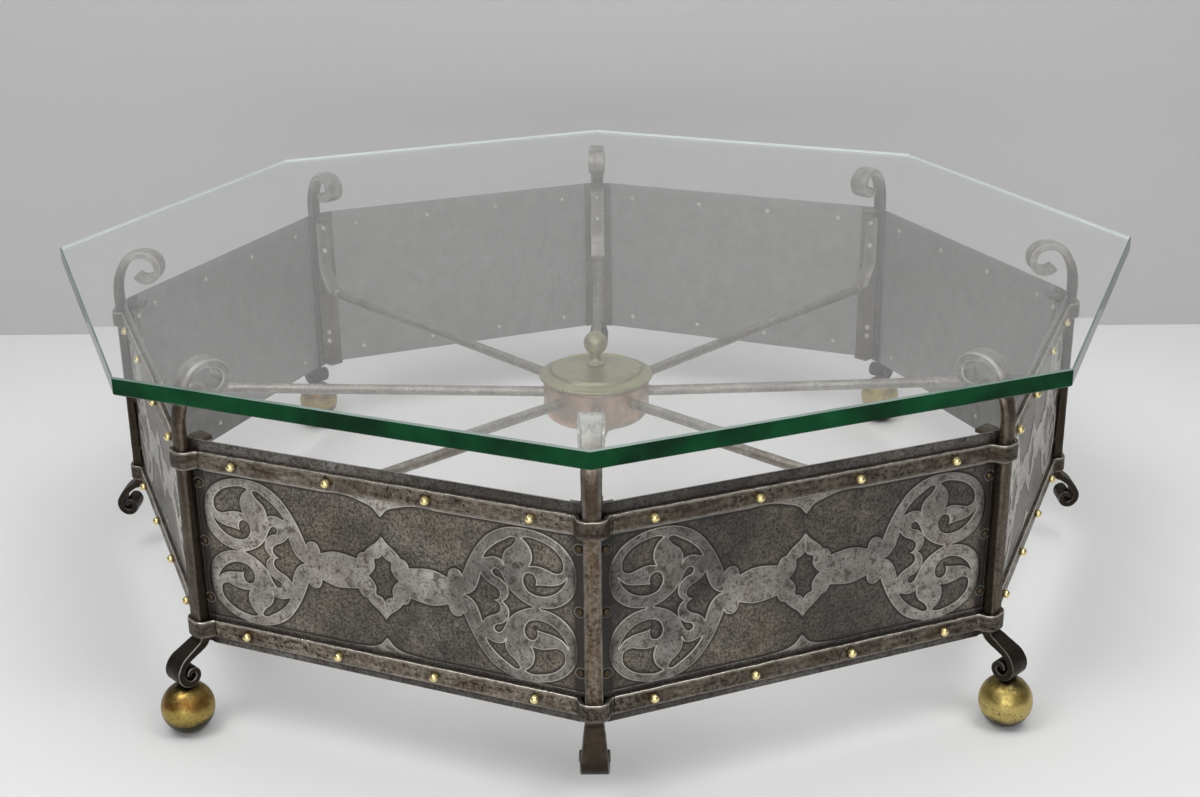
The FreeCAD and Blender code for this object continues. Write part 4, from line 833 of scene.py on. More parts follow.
STRAP_EDGE = outline(
    (0, -4), [(0, 48)], [(3, 42.3), (6.5, 38.6), (13.6, 32.9), (18, 28.6)],
    [(20, 25.8), (25, 24.1), (27.9, 20.8), (29.3, 16.5)],
    [(39.3, 18.4), (47.9, 19.6), (56.4, 19.4), (65, 17.2), (71.9, 14.6)],
    [(72.9, 20.1), (76.4, 25.1), (81.4, 26.1), (86.4, 23.6), (88.1, 20.1)],
    [(93.6, 34.4), (105, 55.1), (117.1, 69.4), (134.3, 79.4), (160, 82.3), (177.1, 79.4), (195.7, 69.4),
     (207.9, 50.8), (209.2, 38.5), (204.3, 17.9), (191.4, 5.8), (182.9, 2.2), (172, 0.7)],
    [(163, -4)], [(0, -4)])
OPENINGS = (
    outline((164, -4), [(162.9, 0.4)], [(157.1, 2.4), (148.6, 6.7), (142.1, 11.7), (136.2, 19)],
            [(137.6, 13.5), (137.9, 9.4), (136.2, 5), (131, 0)], [(131, -4)], [(164, -4)]),
    outline((90, -4), [(90, 0.2)], [(95, 1.8), (100, 5.8), (106.4, 18.6), (108.4, 26.8)],
            [(112.1, 21.5), (117.1, 17.9), (124.3, 14.4), (127.9, 10.8), (128.6, 6.5), (126.4, 2.2),
             (121.7, 0.4)],
            [(121.7, -4)], [(90, -4)]),
    outline((136.6, 17.6), [(134.2, 23), (130.7, 30.1), (127.9, 33.6), (125.5, 34.6), (122.2, 33.2),
                            (121.2, 30.2), (123.2, 27), (128.6, 25.1), (133.2, 21.6), (136.6, 17.6)]),
    outline((111.6, 44.2), [(114.3, 44.6), (120, 46.6), (127.1, 46.7), (131.5, 45)], [(133.5, 40)],
            [(132.4, 48), (135.7, 55.8), (144.3, 63.6), (147.6, 68.8)],
            [(146.9, 70.6), (144.8, 71.2), (134.3, 66.5), (120, 55.8), (113.6, 47.9), (111.6, 44.2)]),
    outline((152.9, 71.6), [(160, 73.6), (170, 72.2), (185.7, 65.8), (195.7, 52.9), (194.3, 42.9),
                            (189.3, 40.5), (178.6, 42.9), (171.4, 44.6), (160.5, 43.4)],
            [(163.6, 51.5), (161.4, 62.9), (152.9, 71.6)]),
    outline((199.9, 38.2), [(194.3, 26.5), (182.9, 16.5), (174.3, 13.6), (165.7, 13.6), (158.6, 16.5),
                            (153.8, 29), (156.2, 34.2), (160.7, 36), (165, 34.4), (167.2, 30.1), (165, 21.5)],
            [(167.9, 24.1), (172.9, 25.1), (187.1, 27.5), (192.9, 30.1), (199.9, 38.2)]),
    outline((-4, -4), [(-4, 22.3)], [(0, 26.5)], [(3, 22.3), (6, 20.6), (9.3, 20.2)],
            [(9.6, 16.5), (9, 12.9), (11.4, 6.5), (17.6, 0)], [(17.6, -4)], [(-4, -4)]),
)


def border_edge(line):
    """The raised border along a rail: a level line that drops to a point above or below the middle."""
    point = [(2.9, 70.1), (6.4, 74.4), (12.1, 77.9), (19.3, 80.1), (30, line - 0.7), (60, line)]
    return outline((0, 67), point, [(240, line + 0.2)], [(240, 130)], [(-4, 130)], [(-4, 70.1)], [(0, 67)])


BORDER_LINES = {"top": 84.0, "bottom": 82.0}
print(f"{len(OPENINGS) + 2} outlines, {sum(map(len, OPENINGS)) + len(STRAP_EDGE)} points in the strapwork")


# %% Measure the distance from every grid point to the pattern
def inside_distance(points, line):
    """Distance from points to a closed line, positive inside and negative outside.

    The distance is the least of those to the line's short chords. A point is inside where a level ray
    from it crosses the chords an odd number of times.
    """
    start, end = line, np.roll(line, -1, axis=0)
    chord = end - start
    squared = np.maximum((chord ** 2).sum(axis=1), 1e-12)
    measured = []
    for block in np.array_split(points, max(1, len(points) // 3000)):
        away = block[:, None] - start
        share = np.clip((away * chord).sum(axis=2) / squared, 0, 1)
        nearest = np.linalg.norm(away - share[..., None] * chord, axis=2).min(axis=1)
        above = block[:, None, 1] < start[:, 1]
        crosses = above != (block[:, None, 1] < end[:, 1])
        rise = np.where(np.abs(chord[:, 1]) < 1e-12, 1e-12, chord[:, 1])
        meets = start[:, 0] + chord[:, 0] * (block[:, None, 1] - start[:, 1]) / rise
        odd = (crosses & (block[:, None, 0] < meets)).sum(axis=1) % 2 == 1
        measured.append(np.where(odd, nearest, -nearest))
    return np.concatenate(measured)


def strap_distance(along, height):
    """Signed distance to the edge of the raised pattern: the strap less its openings, or the border."""
    quarter = np.stack([np.abs(along).ravel(), np.abs(height).ravel()], axis=1)
    strap = inside_distance(quarter, STRAP_EDGE)
    for opening in OPENINGS:
        strap = np.minimum(strap, -inside_distance(quarter, opening))
    borders = {level: inside_distance(quarter, border_edge(line)) for level, line in BORDER_LINES.items()}
    border = np.where(height.ravel() > 0, borders["top"], borders["bottom"])
    return np.maximum(strap, border).reshape(along.shape)


CELL = 1.15
PATTERN_HEIGHT = 213.05
half_length = PANEL_HALF / MM
half_height = (PANEL_HIGH - PANEL_LOW) / 2 / MM
pattern_middle = PATTERN_HEIGHT - PANEL_MIDDLE / MM
columns = 2 * round(half_length / CELL)
rows = 2 * round(half_height / CELL)
flat_along, flat_height = np.meshgrid(np.linspace(-half_length, half_length, columns + 1),
                                      np.linspace(-half_height, half_height, rows + 1))
edge_distance = strap_distance(flat_along, flat_height - pattern_middle)
print(f"panel grid {columns} x {rows}, raised share {(edge_distance > 0).mean():.2f}")

# %% [markdown]
# ## Panels
#
# Each sheet is one grid of points laid over the solid's face. Points near the pattern's edge are pulled
# onto it, so the edge runs smoothly and not in steps. The depth then follows the distance: flat inside
# the strap, falling to its rim, deepest in the groove beside it and stippled on the ground. The same grid
# is turned to all eight sides, and a plain back closes it. The mesh carries the distance itself as a
# number, because a finish can draw a finer line from a distance than the grid could hold.

# %% Shape the relief once
RELIEF = ((-2.2, -0.78), (-0.7, -1.08), (0.15, -0.36), (1.0, -0.11), (2.6, 0.0))
PANEL_CORNER = 6.0
PULL_REACH = 0.45 * CELL
LEAST_STEEPNESS, PULL_STEEPNESS = 0.4, 0.6
STIPPLE, STRAP_STIPPLE_SHARE = 0.08, 0.15
STIPPLE_SEED = 7


def pulled_to_edge(along, height, distance):
    """Points within about half a cell of the pattern's edge, moved onto it along the distance's slope."""
    rise, run = np.gradient(distance, height[:, 0], along[0])
    steepness = np.maximum(np.hypot(run, rise), LEAST_STEEPNESS)
    near = (np.abs(distance) < PULL_REACH) & (steepness > PULL_STEEPNESS)
    near[[0, -1], :] = False
    near[:, [0, -1]] = False
    step = np.where(near, -distance, 0.0) / steepness ** 2
    return along + step * run, height + step * rise, np.where(near, 0.0, distance)


def rounded_corners(along, height):
    """A rectangle's corner squares pressed into quarter discs, so that the sheet's corners are round."""
    over_x = np.maximum(np.abs(along) - (half_length - PANEL_CORNER), 0) / PANEL_CORNER
    over_y = np.maximum(np.abs(height) - (half_height - PANEL_CORNER), 0) / PANEL_CORNER
    shift_x = PANEL_CORNER * over_x * (1 - np.sqrt(1 - over_y ** 2 / 2))
    shift_y = PANEL_CORNER * over_y * (1 - np.sqrt(1 - over_x ** 2 / 2))
    return along - np.sign(along) * shift_x, height - np.sign(height) * shift_y


moved_along, moved_height, edge_distance = pulled_to_edge(flat_along, flat_height, edge_distance)
moved_along, moved_height = rounded_corners(moved_along, moved_height)
stipple = np.random.default_rng(STIPPLE_SEED).normal(0.0, STIPPLE, edge_distance.shape)
relief = np.interp(edge_distance, *zip(*RELIEF))
relief += np.where(edge_distance < RELIEF[0][0], stipple, STRAP_STIPPLE_SHARE * stipple)
relief[[0, -1], :] = 0.0
relief[:, [0, -1]] = 0.0
print(f"relief from {relief.min():.2f} to {relief.max():.2f} mm")


# %% Find the dirt, the painted shade and the ringed rivets
EDGE_HEAD = 3.7
EDGE_RIVET_HALF = (PANEL_FACE * math.tan(HALF_ANGLE)
                   - (POST_WIDTH / 2 + EDGE_HEAD * MM + FIT_GAP) / math.cos(HALF_ANGLE))
EDGE_RIVET_MIDDLE, EDGE_RIVET_PITCH = 2.95 * MM, 66 * MM
EDGE_RIVET_RISES = EDGE_RIVET_MIDDLE + EDGE_RIVET_PITCH * np.array([-1, 0, 1])
RIVET_RING = 5.6
# Dirt and painted shade at the panels' ends and above the bottom rail, a painted shadow under the top rail,
# and dirt on the strips outside the rails.
END_DIRT_AND_SHADE, END_DIRT_AND_SHADE_WIDTH, END_DIRT_AND_SHADE_FADE = 0.97, 10, 3.2
TOP_RAIL_SHADOW, TOP_RAIL_SHADOW_FADE = 0.9, 1.5
LEDGE_DIRT_AND_SHADE, LEDGE_DIRT_AND_SHADE_HEIGHT, LEDGE_DIRT_AND_SHADE_FADE = 0.96, 4.5, 1.6
OUTER_DIRT, OUTER_STRIP = 0.82, 12


def rail_gap(height):
    """Distance in millimetres above or below the nearest rail's band, and 0 behind it."""
    level = height * MM + PANEL_MIDDLE
    from_middles = [np.abs(level - middle) for middle in RAIL_MIDDLES.values()]
    rail_half = (RAIL_SPANS["top"][1] - RAIL_SPANS["top"][0]) / 2
    return np.maximum(np.min(from_middles, axis=0) - rail_half, 0) / MM


def ring_distance(along, height):
    """Distance to the ring round the nearest panel-edge rivet, negative inside the ring."""
    across = np.abs(along) - EDGE_RIVET_HALF / MM
    from_rivets = [np.hypot(across, height - rise / MM) for rise in EDGE_RIVET_RISES]
    return np.min(from_rivets, axis=0) - RIVET_RING


def fading(strength, distance, width, fade):
    """A strength that holds over a width and then falls off as an exponential."""
    return strength * np.exp(-np.maximum(distance - width, 0) / fade)


outside_rails = np.abs(moved_height) > half_height - OUTER_STRIP
from_rail = rail_gap(moved_height)
# The ends beside the posts carry dirt and painted shade.
end_dirt_and_shade = fading(END_DIRT_AND_SHADE, half_length - np.abs(moved_along), END_DIRT_AND_SHADE_WIDTH, END_DIRT_AND_SHADE_FADE)
# Under the top rail a painted shadow; above the bottom rail dirt and painted shade.
top_rail_shadow = fading(TOP_RAIL_SHADOW, from_rail, 0, TOP_RAIL_SHADOW_FADE)
bottom_rail_dirt_and_shade = fading(LEDGE_DIRT_AND_SHADE, from_rail, LEDGE_DIRT_AND_SHADE_HEIGHT, LEDGE_DIRT_AND_SHADE_FADE)
dirt_and_shade = np.maximum.reduce([end_dirt_and_shade, np.where(moved_height > 0, top_rail_shadow, bottom_rail_dirt_and_shade),
                          np.where(outside_rails, OUTER_DIRT, 0.0)])
ring_gap = ring_distance(moved_along, moved_height)
print(f"dirt covers {(dirt_and_shade > 0.4).mean():.2f} of a panel")


# %% Mix the colours of ground and strap
def etched_ground(tree, grain, clouds, broad):
    """The eaten ground: dark grains among dull and bright ones, with a slow change of hue."""
    dark = blend(tree, clouds, (0.014, 0.0112, 0.0080, 1), (0.042, 0.035, 0.026, 1))
    dull = blend(tree, broad, (0.125, 0.111, 0.092, 1), (0.130, 0.106, 0.079, 1))
    bright = blend(tree, broad, (0.28, 0.258, 0.221, 1), (0.29, 0.245, 0.192, 1))
    return blend(tree, span(tree, grain, 0.37, 0.63), dark, blend(tree, clouds, dull, bright))


def burnished_strap(tree, grain, clouds, broad, spots):
    """The raised strap: clouded steel, browner in broad patches, with brown spots and dark specks."""
    clean = blend(tree, clouds, (0.23, 0.210, 0.185, 1), (0.60, 0.577, 0.535, 1))
    browned = blend(tree, span(tree, broad, 0.0, 1.0, 0.0, 0.4), clean, (0.185, 0.152, 0.120, 1))
    spotted = blend(tree, spots, browned, (0.085, 0.062, 0.045, 1))
    speckled = blend(tree, span(tree, grain, 0.53, 0.64, 0.0, 0.8), spotted, (0.09, 0.073, 0.057, 1))
    return scaled(tree, speckled, own(tree, "strap_tone"))


print("ground and strap have their colours")

# %% Mix the etched steel
# A painted highlight on the strap's rim and painted shade in the groove beside it.
RIM_HIGHLIGHT = (0.60, 0.57, 0.52, 1)
GROOVE_SHADE = (0.026, 0.020, 0.015, 1)
# One dark brown for dirt and for painted shade.
DIRT_AND_SHADE_BROWN = (0.015, 0.0105, 0.0070, 1)
RING_LIGHT = (0.34, 0.32, 0.285, 1)
BACK_DARK, BACK_LIGHT = (0.19, 0.186, 0.180, 1), (0.265, 0.260, 0.253, 1)
OLD_TONE = 0.2
STRAP_POLISH = 0.12
ETCHED_BUMP = 0.5 * MM
ETCHED_METAL, ETCHED_COAT, ETCHED_COAT_ROUGHNESS = 0.88, 0.5, 0.28


def line_at(tree, distance, middle, half_width, strength):
    """A line of some strength where a distance is near its middle value, and 0 beyond the half width."""
    inputs = {0: distance, 1: middle, 2: half_width}
    return sums(tree, "MULTIPLY", add(tree, "Math", inputs, operation="COMPARE").outputs[0], strength)


def outlined(tree, colour, raised, from_edge):
    """A painted highlight just inside the strap's edge, and painted shade in the groove just outside it."""
    rim_highlighted = blend(tree, line_at(tree, from_edge, 0.55, 0.5, 0.62), colour, RIM_HIGHLIGHT)
    groove_shade = sums(tree, "MULTIPLY", span(tree, from_edge, -3.6, -1.0, 0.0, 0.95),
                  sums(tree, "SUBTRACT", 1.0, raised))
    return blend(tree, groove_shade, rim_highlighted, GROOVE_SHADE)


def soiled_and_shaded(tree, colour, places, grain):
    """Light and dark areas, dirt with painted shade beside the posts and rails, and a light ring round each
    edge rivet.
    """
    areas = span(tree, noise(tree, places, 6.5, 3.0, 0.55), 0.40, 0.60, 0.80, 1.52)
    # Dirt and painted shade, broken up by the grain.
    grime_and_shade = sums(tree, "MULTIPLY", own(tree, "dirt_and_shade"), span(tree, grain, 0.3, 0.6, 0.75, 1.0))
    dirtied_and_shaded = blend(tree, grime_and_shade, scaled(tree, colour, areas), DIRT_AND_SHADE_BROWN)
    return blend(tree, line_at(tree, own(tree, "from_ring"), 0.0, 0.45, 0.5), dirtied_and_shaded, RING_LIGHT)


def etched_finish():
    """Etched sheet: grainy ground, the strap's burnish, outline with painted highlight and painted shade,
    dirt with painted shade and age in front, and plain behind.
    """
    finish, tree, shader, places = new_finish("etched_panel_steel")
    from_edge = own(tree, "from_edge")
    raised = span(tree, from_edge, -0.35, 0.35)
    broad = span(tree, noise(tree, places, 11.0, 4.0, 0.6), 0.36, 0.64)
    clouds = span(tree, noise(tree, places, 46.0, 6.0, 0.7), 0.32, 0.68)
    grain = noise(tree, places, 370.0, 3.0, 0.7)
    spots = span(tree, noise(tree, places, 120.0, 5.0, 0.7), 0.53, 0.61, 0.0, 0.8)
    laid = blend(tree, raised, etched_ground(tree, grain, clouds, broad),
                 burnished_strap(tree, grain, clouds, broad, spots))
    front = soiled_and_shaded(tree, outlined(tree, laid, raised, from_edge), places, grain)
    patches = sums(tree, "MULTIPLY", span(tree, broad, 0.0, 1.0, 1.7, 0.3),
                   span(tree, raised, 0.0, 1.0, 1.2, 0.85))
    old_share = sums(tree, "MULTIPLY", own(tree, "age"), patches)
    aged = blend(tree, old_share, front, scaled(tree, front, OLD_TONE))
    colour = blend(tree, own(tree, "plain"), aged, blend(tree, clouds, BACK_DARK, BACK_LIGHT))
    rough = sums(tree, "SUBTRACT", span(tree, grain, 0.3, 0.7, 0.46, 0.62),
                 sums(tree, "MULTIPLY", raised, STRAP_POLISH))
    bumps = sums(tree, "SUBTRACT", grain, sums(tree, "MULTIPLY", spots, 0.4))
    feed(tree, shader, colour, rough, bumps, ETCHED_BUMP)
    shader.inputs["Metallic"].default_value = ETCHED_METAL
    shader.inputs["Coat Weight"].default_value = ETCHED_COAT
    shader.inputs["Coat Roughness"].default_value = ETCHED_COAT_ROUGHNESS
    return finish


etched_steel = etched_finish()
print("etched steel is mixed")


# %% Lay the relief on the eight sides
PANEL_AGES = {"right_back": (0.2, 0.2), "back_right": (0.3, 0.3), "back_left": (0.15, 0.15),
              "left_back": (0.25, 0.25), "left_front": (0.2, 0.2), "front_left": (0.0, 0.0),
              "front_right": (0.5, 0.3), "right_front": (0.05, 0.05)}
STRAP_TONES = {"front_left": (0.84, 1.15, 0.55), "front_right": (0.54, 1.05, 0.86)}
EVEN_TONE = (1.0, 1.0, 1.0)
NO_RING = 9.0


def sheet_faces(rows, columns):
    """Faces of an open grid with a wall round its edge and one plain face behind."""
    index = np.arange((rows + 1) * (columns + 1)).reshape(rows + 1, columns + 1)
    front = np.stack([index[:-1, :-1], index[:-1, 1:], index[1:, 1:], index[1:, :-1]], axis=-1).reshape(-1, 4)
    border = np.concatenate([index[0, :-1], index[:-1, -1], index[-1, :0:-1], index[:0:-1, 0]])
    behind = index.size + np.arange(len(border))
    wall = np.stack([border, behind, np.roll(behind, -1), np.roll(border, -1)], axis=-1)
    return border, [front, wall, behind[::-1][None, :]]


def lay_panel(side, angle):
    """One panel: the relief on its face, and the same border moved back by the sheet's thickness.

    Age runs from one end of the panel to the other, and the strap's tone through three places between.
    """
    face = (np.multiply.outer(PANEL_FACE + relief * MM, outward(angle))
            + np.multiply.outer(moved_along * MM, sideways(angle))
            + np.multiply.outer(PANEL_MIDDLE + moved_height * MM, UP)).reshape(-1, 3)
    behind = face[border] - (PANEL_FACE - PANEL_BACK) * outward(angle)
    age = np.interp(moved_along, (-half_length, half_length), PANEL_AGES[side])
    tone = np.interp(moved_along, (-half_length / 2, 0.0, half_length / 2), STRAP_TONES.get(side, EVEN_TONE))
    fields = (("from_edge", edge_distance, 0.0), ("from_ring", ring_gap, NO_RING), ("dirt_and_shade", dirt_and_shade, 0.0),
              ("age", age, 0.0), ("strap_tone", tone, 1.0), ("plain", np.zeros_like(dirt_and_shade), 1.0))
    numbers = {label: np.append(values.ravel(), np.full(len(border), back)) for label, values, back in fields}
    panel = make_piece(f"etched_panel_{side}", np.concatenate([face, behind]), panel_faces, etched_steel,
                       numbers=numbers, smooth=(True, False, False))
    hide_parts(f"panel_{side}")


border, panel_faces = sheet_faces(rows, columns)
for side, angle in SIDES.items():
    lay_panel(side, angle)
print(f"{len(SIDES)} panels of about {2 * rows * columns} triangles")

# %% [markdown]
# ## Spokes
#
# A spoke starts as round rod at the hub. Near the corner it carries a shoulder ring, and beyond that the
# smith flattened it into a paddle that turns up behind the corner. One line and one section do for all of
# it: the section's width, thickness and corner radius change along the line from round to flat.

# %% Lay out the line of a spoke
ROD_RADIUS, RING_RADIUS = 6.35 * MM, 9 * MM
PADDLE_WIDTH, PADDLE_THICKNESS = 21 * MM, 5 * MM
PADDLE_BEND, PADDLE_SLANT, PADDLE_SLANT_LENGTH, PADDLE_KNEE = 10 * MM, 57, 27 * MM, 20 * MM
ROD_RISE = 1.2
ROD_IN_BOWL, ROD_DROP, PADDLE_INSET = 8 * MM, 9.05 * MM, 10.9 * MM
STRAP_THICKNESS, TONGUE_THICKNESS = 3 * MM, 4 * MM
BOWL_RADIUS = reach("hub_bowl", outward(0))[1]
ROD_START = BOWL_RADIUS - ROD_IN_BOWL
ROD_HUB_HEIGHT = PANEL_MIDDLE - ROD_DROP
PADDLE_TOP = PANEL_HIGH - PADDLE_INSET
TONGUE_FACE = ((PANEL_BACK - STRAP_THICKNESS) / math.cos(HALF_ANGLE)
               - PADDLE_WIDTH / 2 * math.tan(HALF_ANGLE))
TONGUE_MIDDLE = TONGUE_FACE - TONGUE_THICKNESS / 2 + STRAP_THICKNESS / 2
PADDLE_MIDDLE = TONGUE_MIDDLE - (TONGUE_THICKNESS + PADDLE_THICKNESS) / 2


def spoke_line():
    """Start, heading and steps of a spoke: along the rod, up the slant and up behind the corner."""
    rise, slant = math.radians(ROD_RISE), math.radians(PADDLE_SLANT)
    reach_out = (PADDLE_BEND * (math.sin(slant) - math.sin(rise)) + PADDLE_KNEE * (1 - math.sin(slant))
                 + PADDLE_SLANT_LENGTH * math.cos(slant))
    climb = (PADDLE_BEND * (math.cos(rise) - math.cos(slant)) + PADDLE_KNEE * math.cos(slant)
             + PADDLE_SLANT_LENGTH * math.sin(slant))
    ring_end = PADDLE_MIDDLE - reach_out
    start_height = ROD_HUB_HEIGHT + (ROD_START - BOWL_RADIUS) * math.tan(rise)
    ring_height = ROD_HUB_HEIGHT + (ring_end - BOWL_RADIUS) * math.tan(rise)
    rod = (ring_end - ROD_START) / math.cos(rise)
    upright = PADDLE_TOP - ring_height - climb
    steps = ((rod, 0), (PADDLE_BEND, PADDLE_SLANT - ROD_RISE), (PADDLE_SLANT_LENGTH, 0),
             (PADDLE_KNEE, 90 - PADDLE_SLANT), (upright, 0))
    return (ROD_START, start_height), steps


print(f"a spoke takes {lengths(spoke_line()[1])[-1]:.3f} m of rod")

# %% Draw out the spokes
SPOKE_SPACING, SPOKE_EASE = 9 * MM, 1.2 * MM
SPOKE_KNOTS = np.array([-480, -7.2, -6.0, -4.6, -1.4, 0.0, 1.2, 9.0, 260]) * MM
FLAT_START, FLAT_FULL = 1.2 * MM, 9.0 * MM
RING_SHOULDER = 0.93 * RING_RADIUS
RING_SIZES = (RING_SHOULDER, RING_RADIUS, RING_RADIUS, RING_SHOULDER)
ROD_UNEVEN = 0.05 * MM
PADDLE_WEAR = 0.6
PADDLE_SOOT, FAR_ROD_SOOT = 0.45, 0.25
ROD_SOOT_FADE = (-40 * MM, 20 * MM)


def draw_spoke(corner, angle, seed):
    """One spoke: round to its ring, then flat; sizes follow knots measured from the end of the ring."""
    start, steps = spoke_line()
    marks = lengths(steps)
    ring_end = marks[1]
    knots = ring_end + SPOKE_KNOTS
    flattening = ring_end + np.array([FLAT_START, FLAT_FULL])
    closer = ring_end + np.linspace(1.5 * MM, FLAT_FULL, 6)
    distance = np.unique(np.concatenate([stations(steps, SPOKE_SPACING, SPOKE_EASE), knots[1:-1], closer]))
    places, headings = walk(start, ROD_RISE, steps, distance)
    drawn_in = eased(distance, marks[-1], SPOKE_EASE)
    half_widths = (ROD_RADIUS, ROD_RADIUS, *RING_SIZES, ROD_RADIUS, PADDLE_WIDTH / 2, PADDLE_WIDTH / 2)
    half_thicknesses = (ROD_RADIUS, ROD_RADIUS, *RING_SIZES, 0.9 * ROD_RADIUS,
                        PADDLE_THICKNESS / 2, PADDLE_THICKNESS / 2)
    half_width = np.interp(distance, knots, half_widths) - drawn_in + hammered(distance, seed, ROD_UNEVEN)
    half_thickness = np.interp(distance, knots, half_thicknesses) - drawn_in
    round_share = np.interp(distance, flattening, (0.97, 0.42))
    corner_radius = round_share * np.minimum(half_width, half_thickness)
    section, edge = bar_section(half_width, half_thickness, corner_radius, arc_points=5, flat_points=1)
    grid = carry(places, headings, section, outward(angle), UP, sideways(angle))
    flat_share = np.interp(distance, flattening, (0.12, 1.0))
    worn = PADDLE_WEAR * np.multiply.outer(flat_share, edge)
    rod_soot = FAR_ROD_SOOT if "back" in corner else 0.0
    soot_and_shade = np.interp(distance, ring_end + np.array(ROD_SOOT_FADE), (rod_soot, PADDLE_SOOT))
    spoke = make_piece(f"drawn_spoke_{corner}", with_poles(grid), tube_faces(*grid.shape[:2]), spoke_iron,
                       numbers=bar_numbers(distance, section, seed, worn, soot_and_shade[:, None]))
    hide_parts(f"spoke_{corner}")


for number, (corner, angle) in enumerate(CORNERS.items()):
    draw_spoke(corner, angle, number)
print(f"{len(CORNERS)} spokes are drawn out")

# %% [markdown]
# ## Brass and copper
#
# Rivet heads are kept bright by handling, while the ball feet and the hub have gone brown and olive.
# Copper turns pink-brown in the same way. One recipe serves them all: a clean metal colour, a patina that
# gathers in cloudy patches, and dark specks. Each metal has its own colours and its own share of patina.

# %% Mix the yellow and red metals
SPECK_BUMP = 0.12 * MM


def patina_finish(name, clean, patina, speck, share, rough_low, rough_high, scale, specks_up_to=0.8):
    """Metal under patina: cloudy patches in a given share, specks, and rougher where it is dull."""
    finish, tree, shader, places = new_finish(name)
    clouds = noise(tree, places, scale, 5.0, 0.6)
    dulled = span(tree, clouds, 0.62 - share, 0.86 - share)
    base = blend(tree, dulled, clean, patina)
    specks = span(tree, noise(tree, places, 9 * scale, 3.0, 0.6), 0.60, 0.70, 0.0, specks_up_to)
    colour = blend(tree, specks, base, speck)
    rough = span(tree, dulled, 0.0, 1.0, rough_low, rough_high)
    feed(tree, shader, colour, rough, sums(tree, "MULTIPLY", specks, -1.0), SPECK_BUMP)
    shader.inputs["Metallic"].default_value = 1.0
    return finish


rivet_brass = patina_finish("bright_rivet_brass", (0.90, 0.77, 0.40, 1), (0.66, 0.52, 0.24, 1),
                            (0.36, 0.27, 0.13, 1), 0.15, 0.26, 0.36, 130.0, 0.2)
# The tails and the corner rivets are painted paler than the heads, a painted sheen of the glass they are seen
# through.
tail_brass = patina_finish("tail_brass_with_painted_glass_sheen", (0.66, 0.63, 0.54, 1), (0.50, 0.47, 0.40, 1),
                           (0.30, 0.27, 0.21, 1), 0.25, 0.34, 0.46, 130.0, 0.2)
edge_brass = patina_finish("dull_edge_rivet_brass", (0.26, 0.20, 0.10, 1), (0.075, 0.058, 0.037, 1),
                           (0.05, 0.038, 0.026, 1), 0.42, 0.32, 0.50, 220.0)
hub_brass = patina_finish("olive_hub_brass", (0.58, 0.54, 0.30, 1), (0.42, 0.39, 0.23, 1),
                          (0.30, 0.27, 0.17, 1), 0.26, 0.24, 0.34, 14.0, 0.0)
bowl_copper = patina_finish("dull_bowl_copper", (0.66, 0.44, 0.32, 1), (0.40, 0.325, 0.275, 1),
                            (0.22, 0.17, 0.14, 1), 0.28, 0.28, 0.44, 36.0, 0.3)
core_steel = patina_finish("plain_core_steel", (0.34, 0.33, 0.31, 1), (0.17, 0.155, 0.14, 1),
                           (0.06, 0.05, 0.04, 1), 0.30, 0.35, 0.52, 80.0)


print("rivets, hub, bowl and core have their metals")


# %% Mix the brass of the balls
def ball_finish():
    """Old brass by height, with painted reflections and shade: painted shade below, where the floor's shadow
    is reflected; a yellow band with dark specks painted as the floor's reflection; a browner shoulder of
    patina; and a dark cap at the top, partly stain and partly painted shade under the foot.

    The two balls on the left of the table are the browner ones.
    """
    finish, tree, shader, places = new_finish("patinated_ball_brass_with_painted_shade")
    axes = add(tree, "SeparateXYZ", {"Vector": places}).outputs
    clouds = noise(tree, places, 46.0, 6.0, 0.65)
    level = sums(tree, "ADD", axes["Z"], span(tree, clouds, 0.3, 0.7, -0.005, 0.005))
    right = span(tree, axes["X"], -0.5, 0.5)
    yellow = blend(tree, right, (0.38, 0.28, 0.080, 1), (0.52, 0.415, 0.150, 1))
    brown = blend(tree, right, (0.20, 0.095, 0.024, 1), (0.34, 0.250, 0.075, 1))
    # Patina browns the shoulder in cloudy patches; below it the brass stays yellow, a painted reflection of
    # the bright floor.
    browned = sums(tree, "MULTIPLY", span(tree, clouds, 0.38, 0.58, 0.35, 1.0),
                   span(tree, level, 0.033, 0.040))
    mottled = blend(tree, browned, yellow, brown)
    # Dark specks in the yellow band, painted as the floor's reflection.
    floor_reflection_band = span(tree, level, 0.034, 0.026, 0.35, 0.9)
    specks = span(tree, noise(tree, places, 300.0, 5.0, 0.7), 0.55, 0.64)
    reflection_specked = blend(tree, sums(tree, "MULTIPLY", specks, floor_reflection_band), mottled, (0.085, 0.060, 0.024, 1))
    # Painted shade low down, where the floor's shadow is reflected.
    below_shadow_reflection = sums(tree, "ADD", level, span(tree, right, 0.0, 1.0, 0.0, 0.006))
    low = span(tree, below_shadow_reflection, 0.017, 0.025, 0.95, 0.0)
    # A dark cap at the top, partly stain and partly painted shade under the foot.
    high = span(tree, level, 0.047, 0.054, 0.0, 0.85)
    colour = blend(tree, sums(tree, "MAXIMUM", low, high), reflection_specked, (0.030, 0.027, 0.016, 1))
    feed(tree, shader, colour, span(tree, clouds, 0.35, 0.65, 0.28, 0.46), specks, -SPECK_BUMP)
    shader.inputs["Metallic"].default_value = 1.0
    return finish


ball_brass = ball_finish()
print("the balls' brass is mixed")

# %% [markdown]
# ## Hub
#
# The hub was turned and spun: a stepped brass cover, a ball finial, a copper bowl that ends in a small
# ogee, and a dark knob below. A turned piece is its half profile carried round the axis. The profiles
# follow the solids, with the beads, coves and rolled edges that a turner leaves.

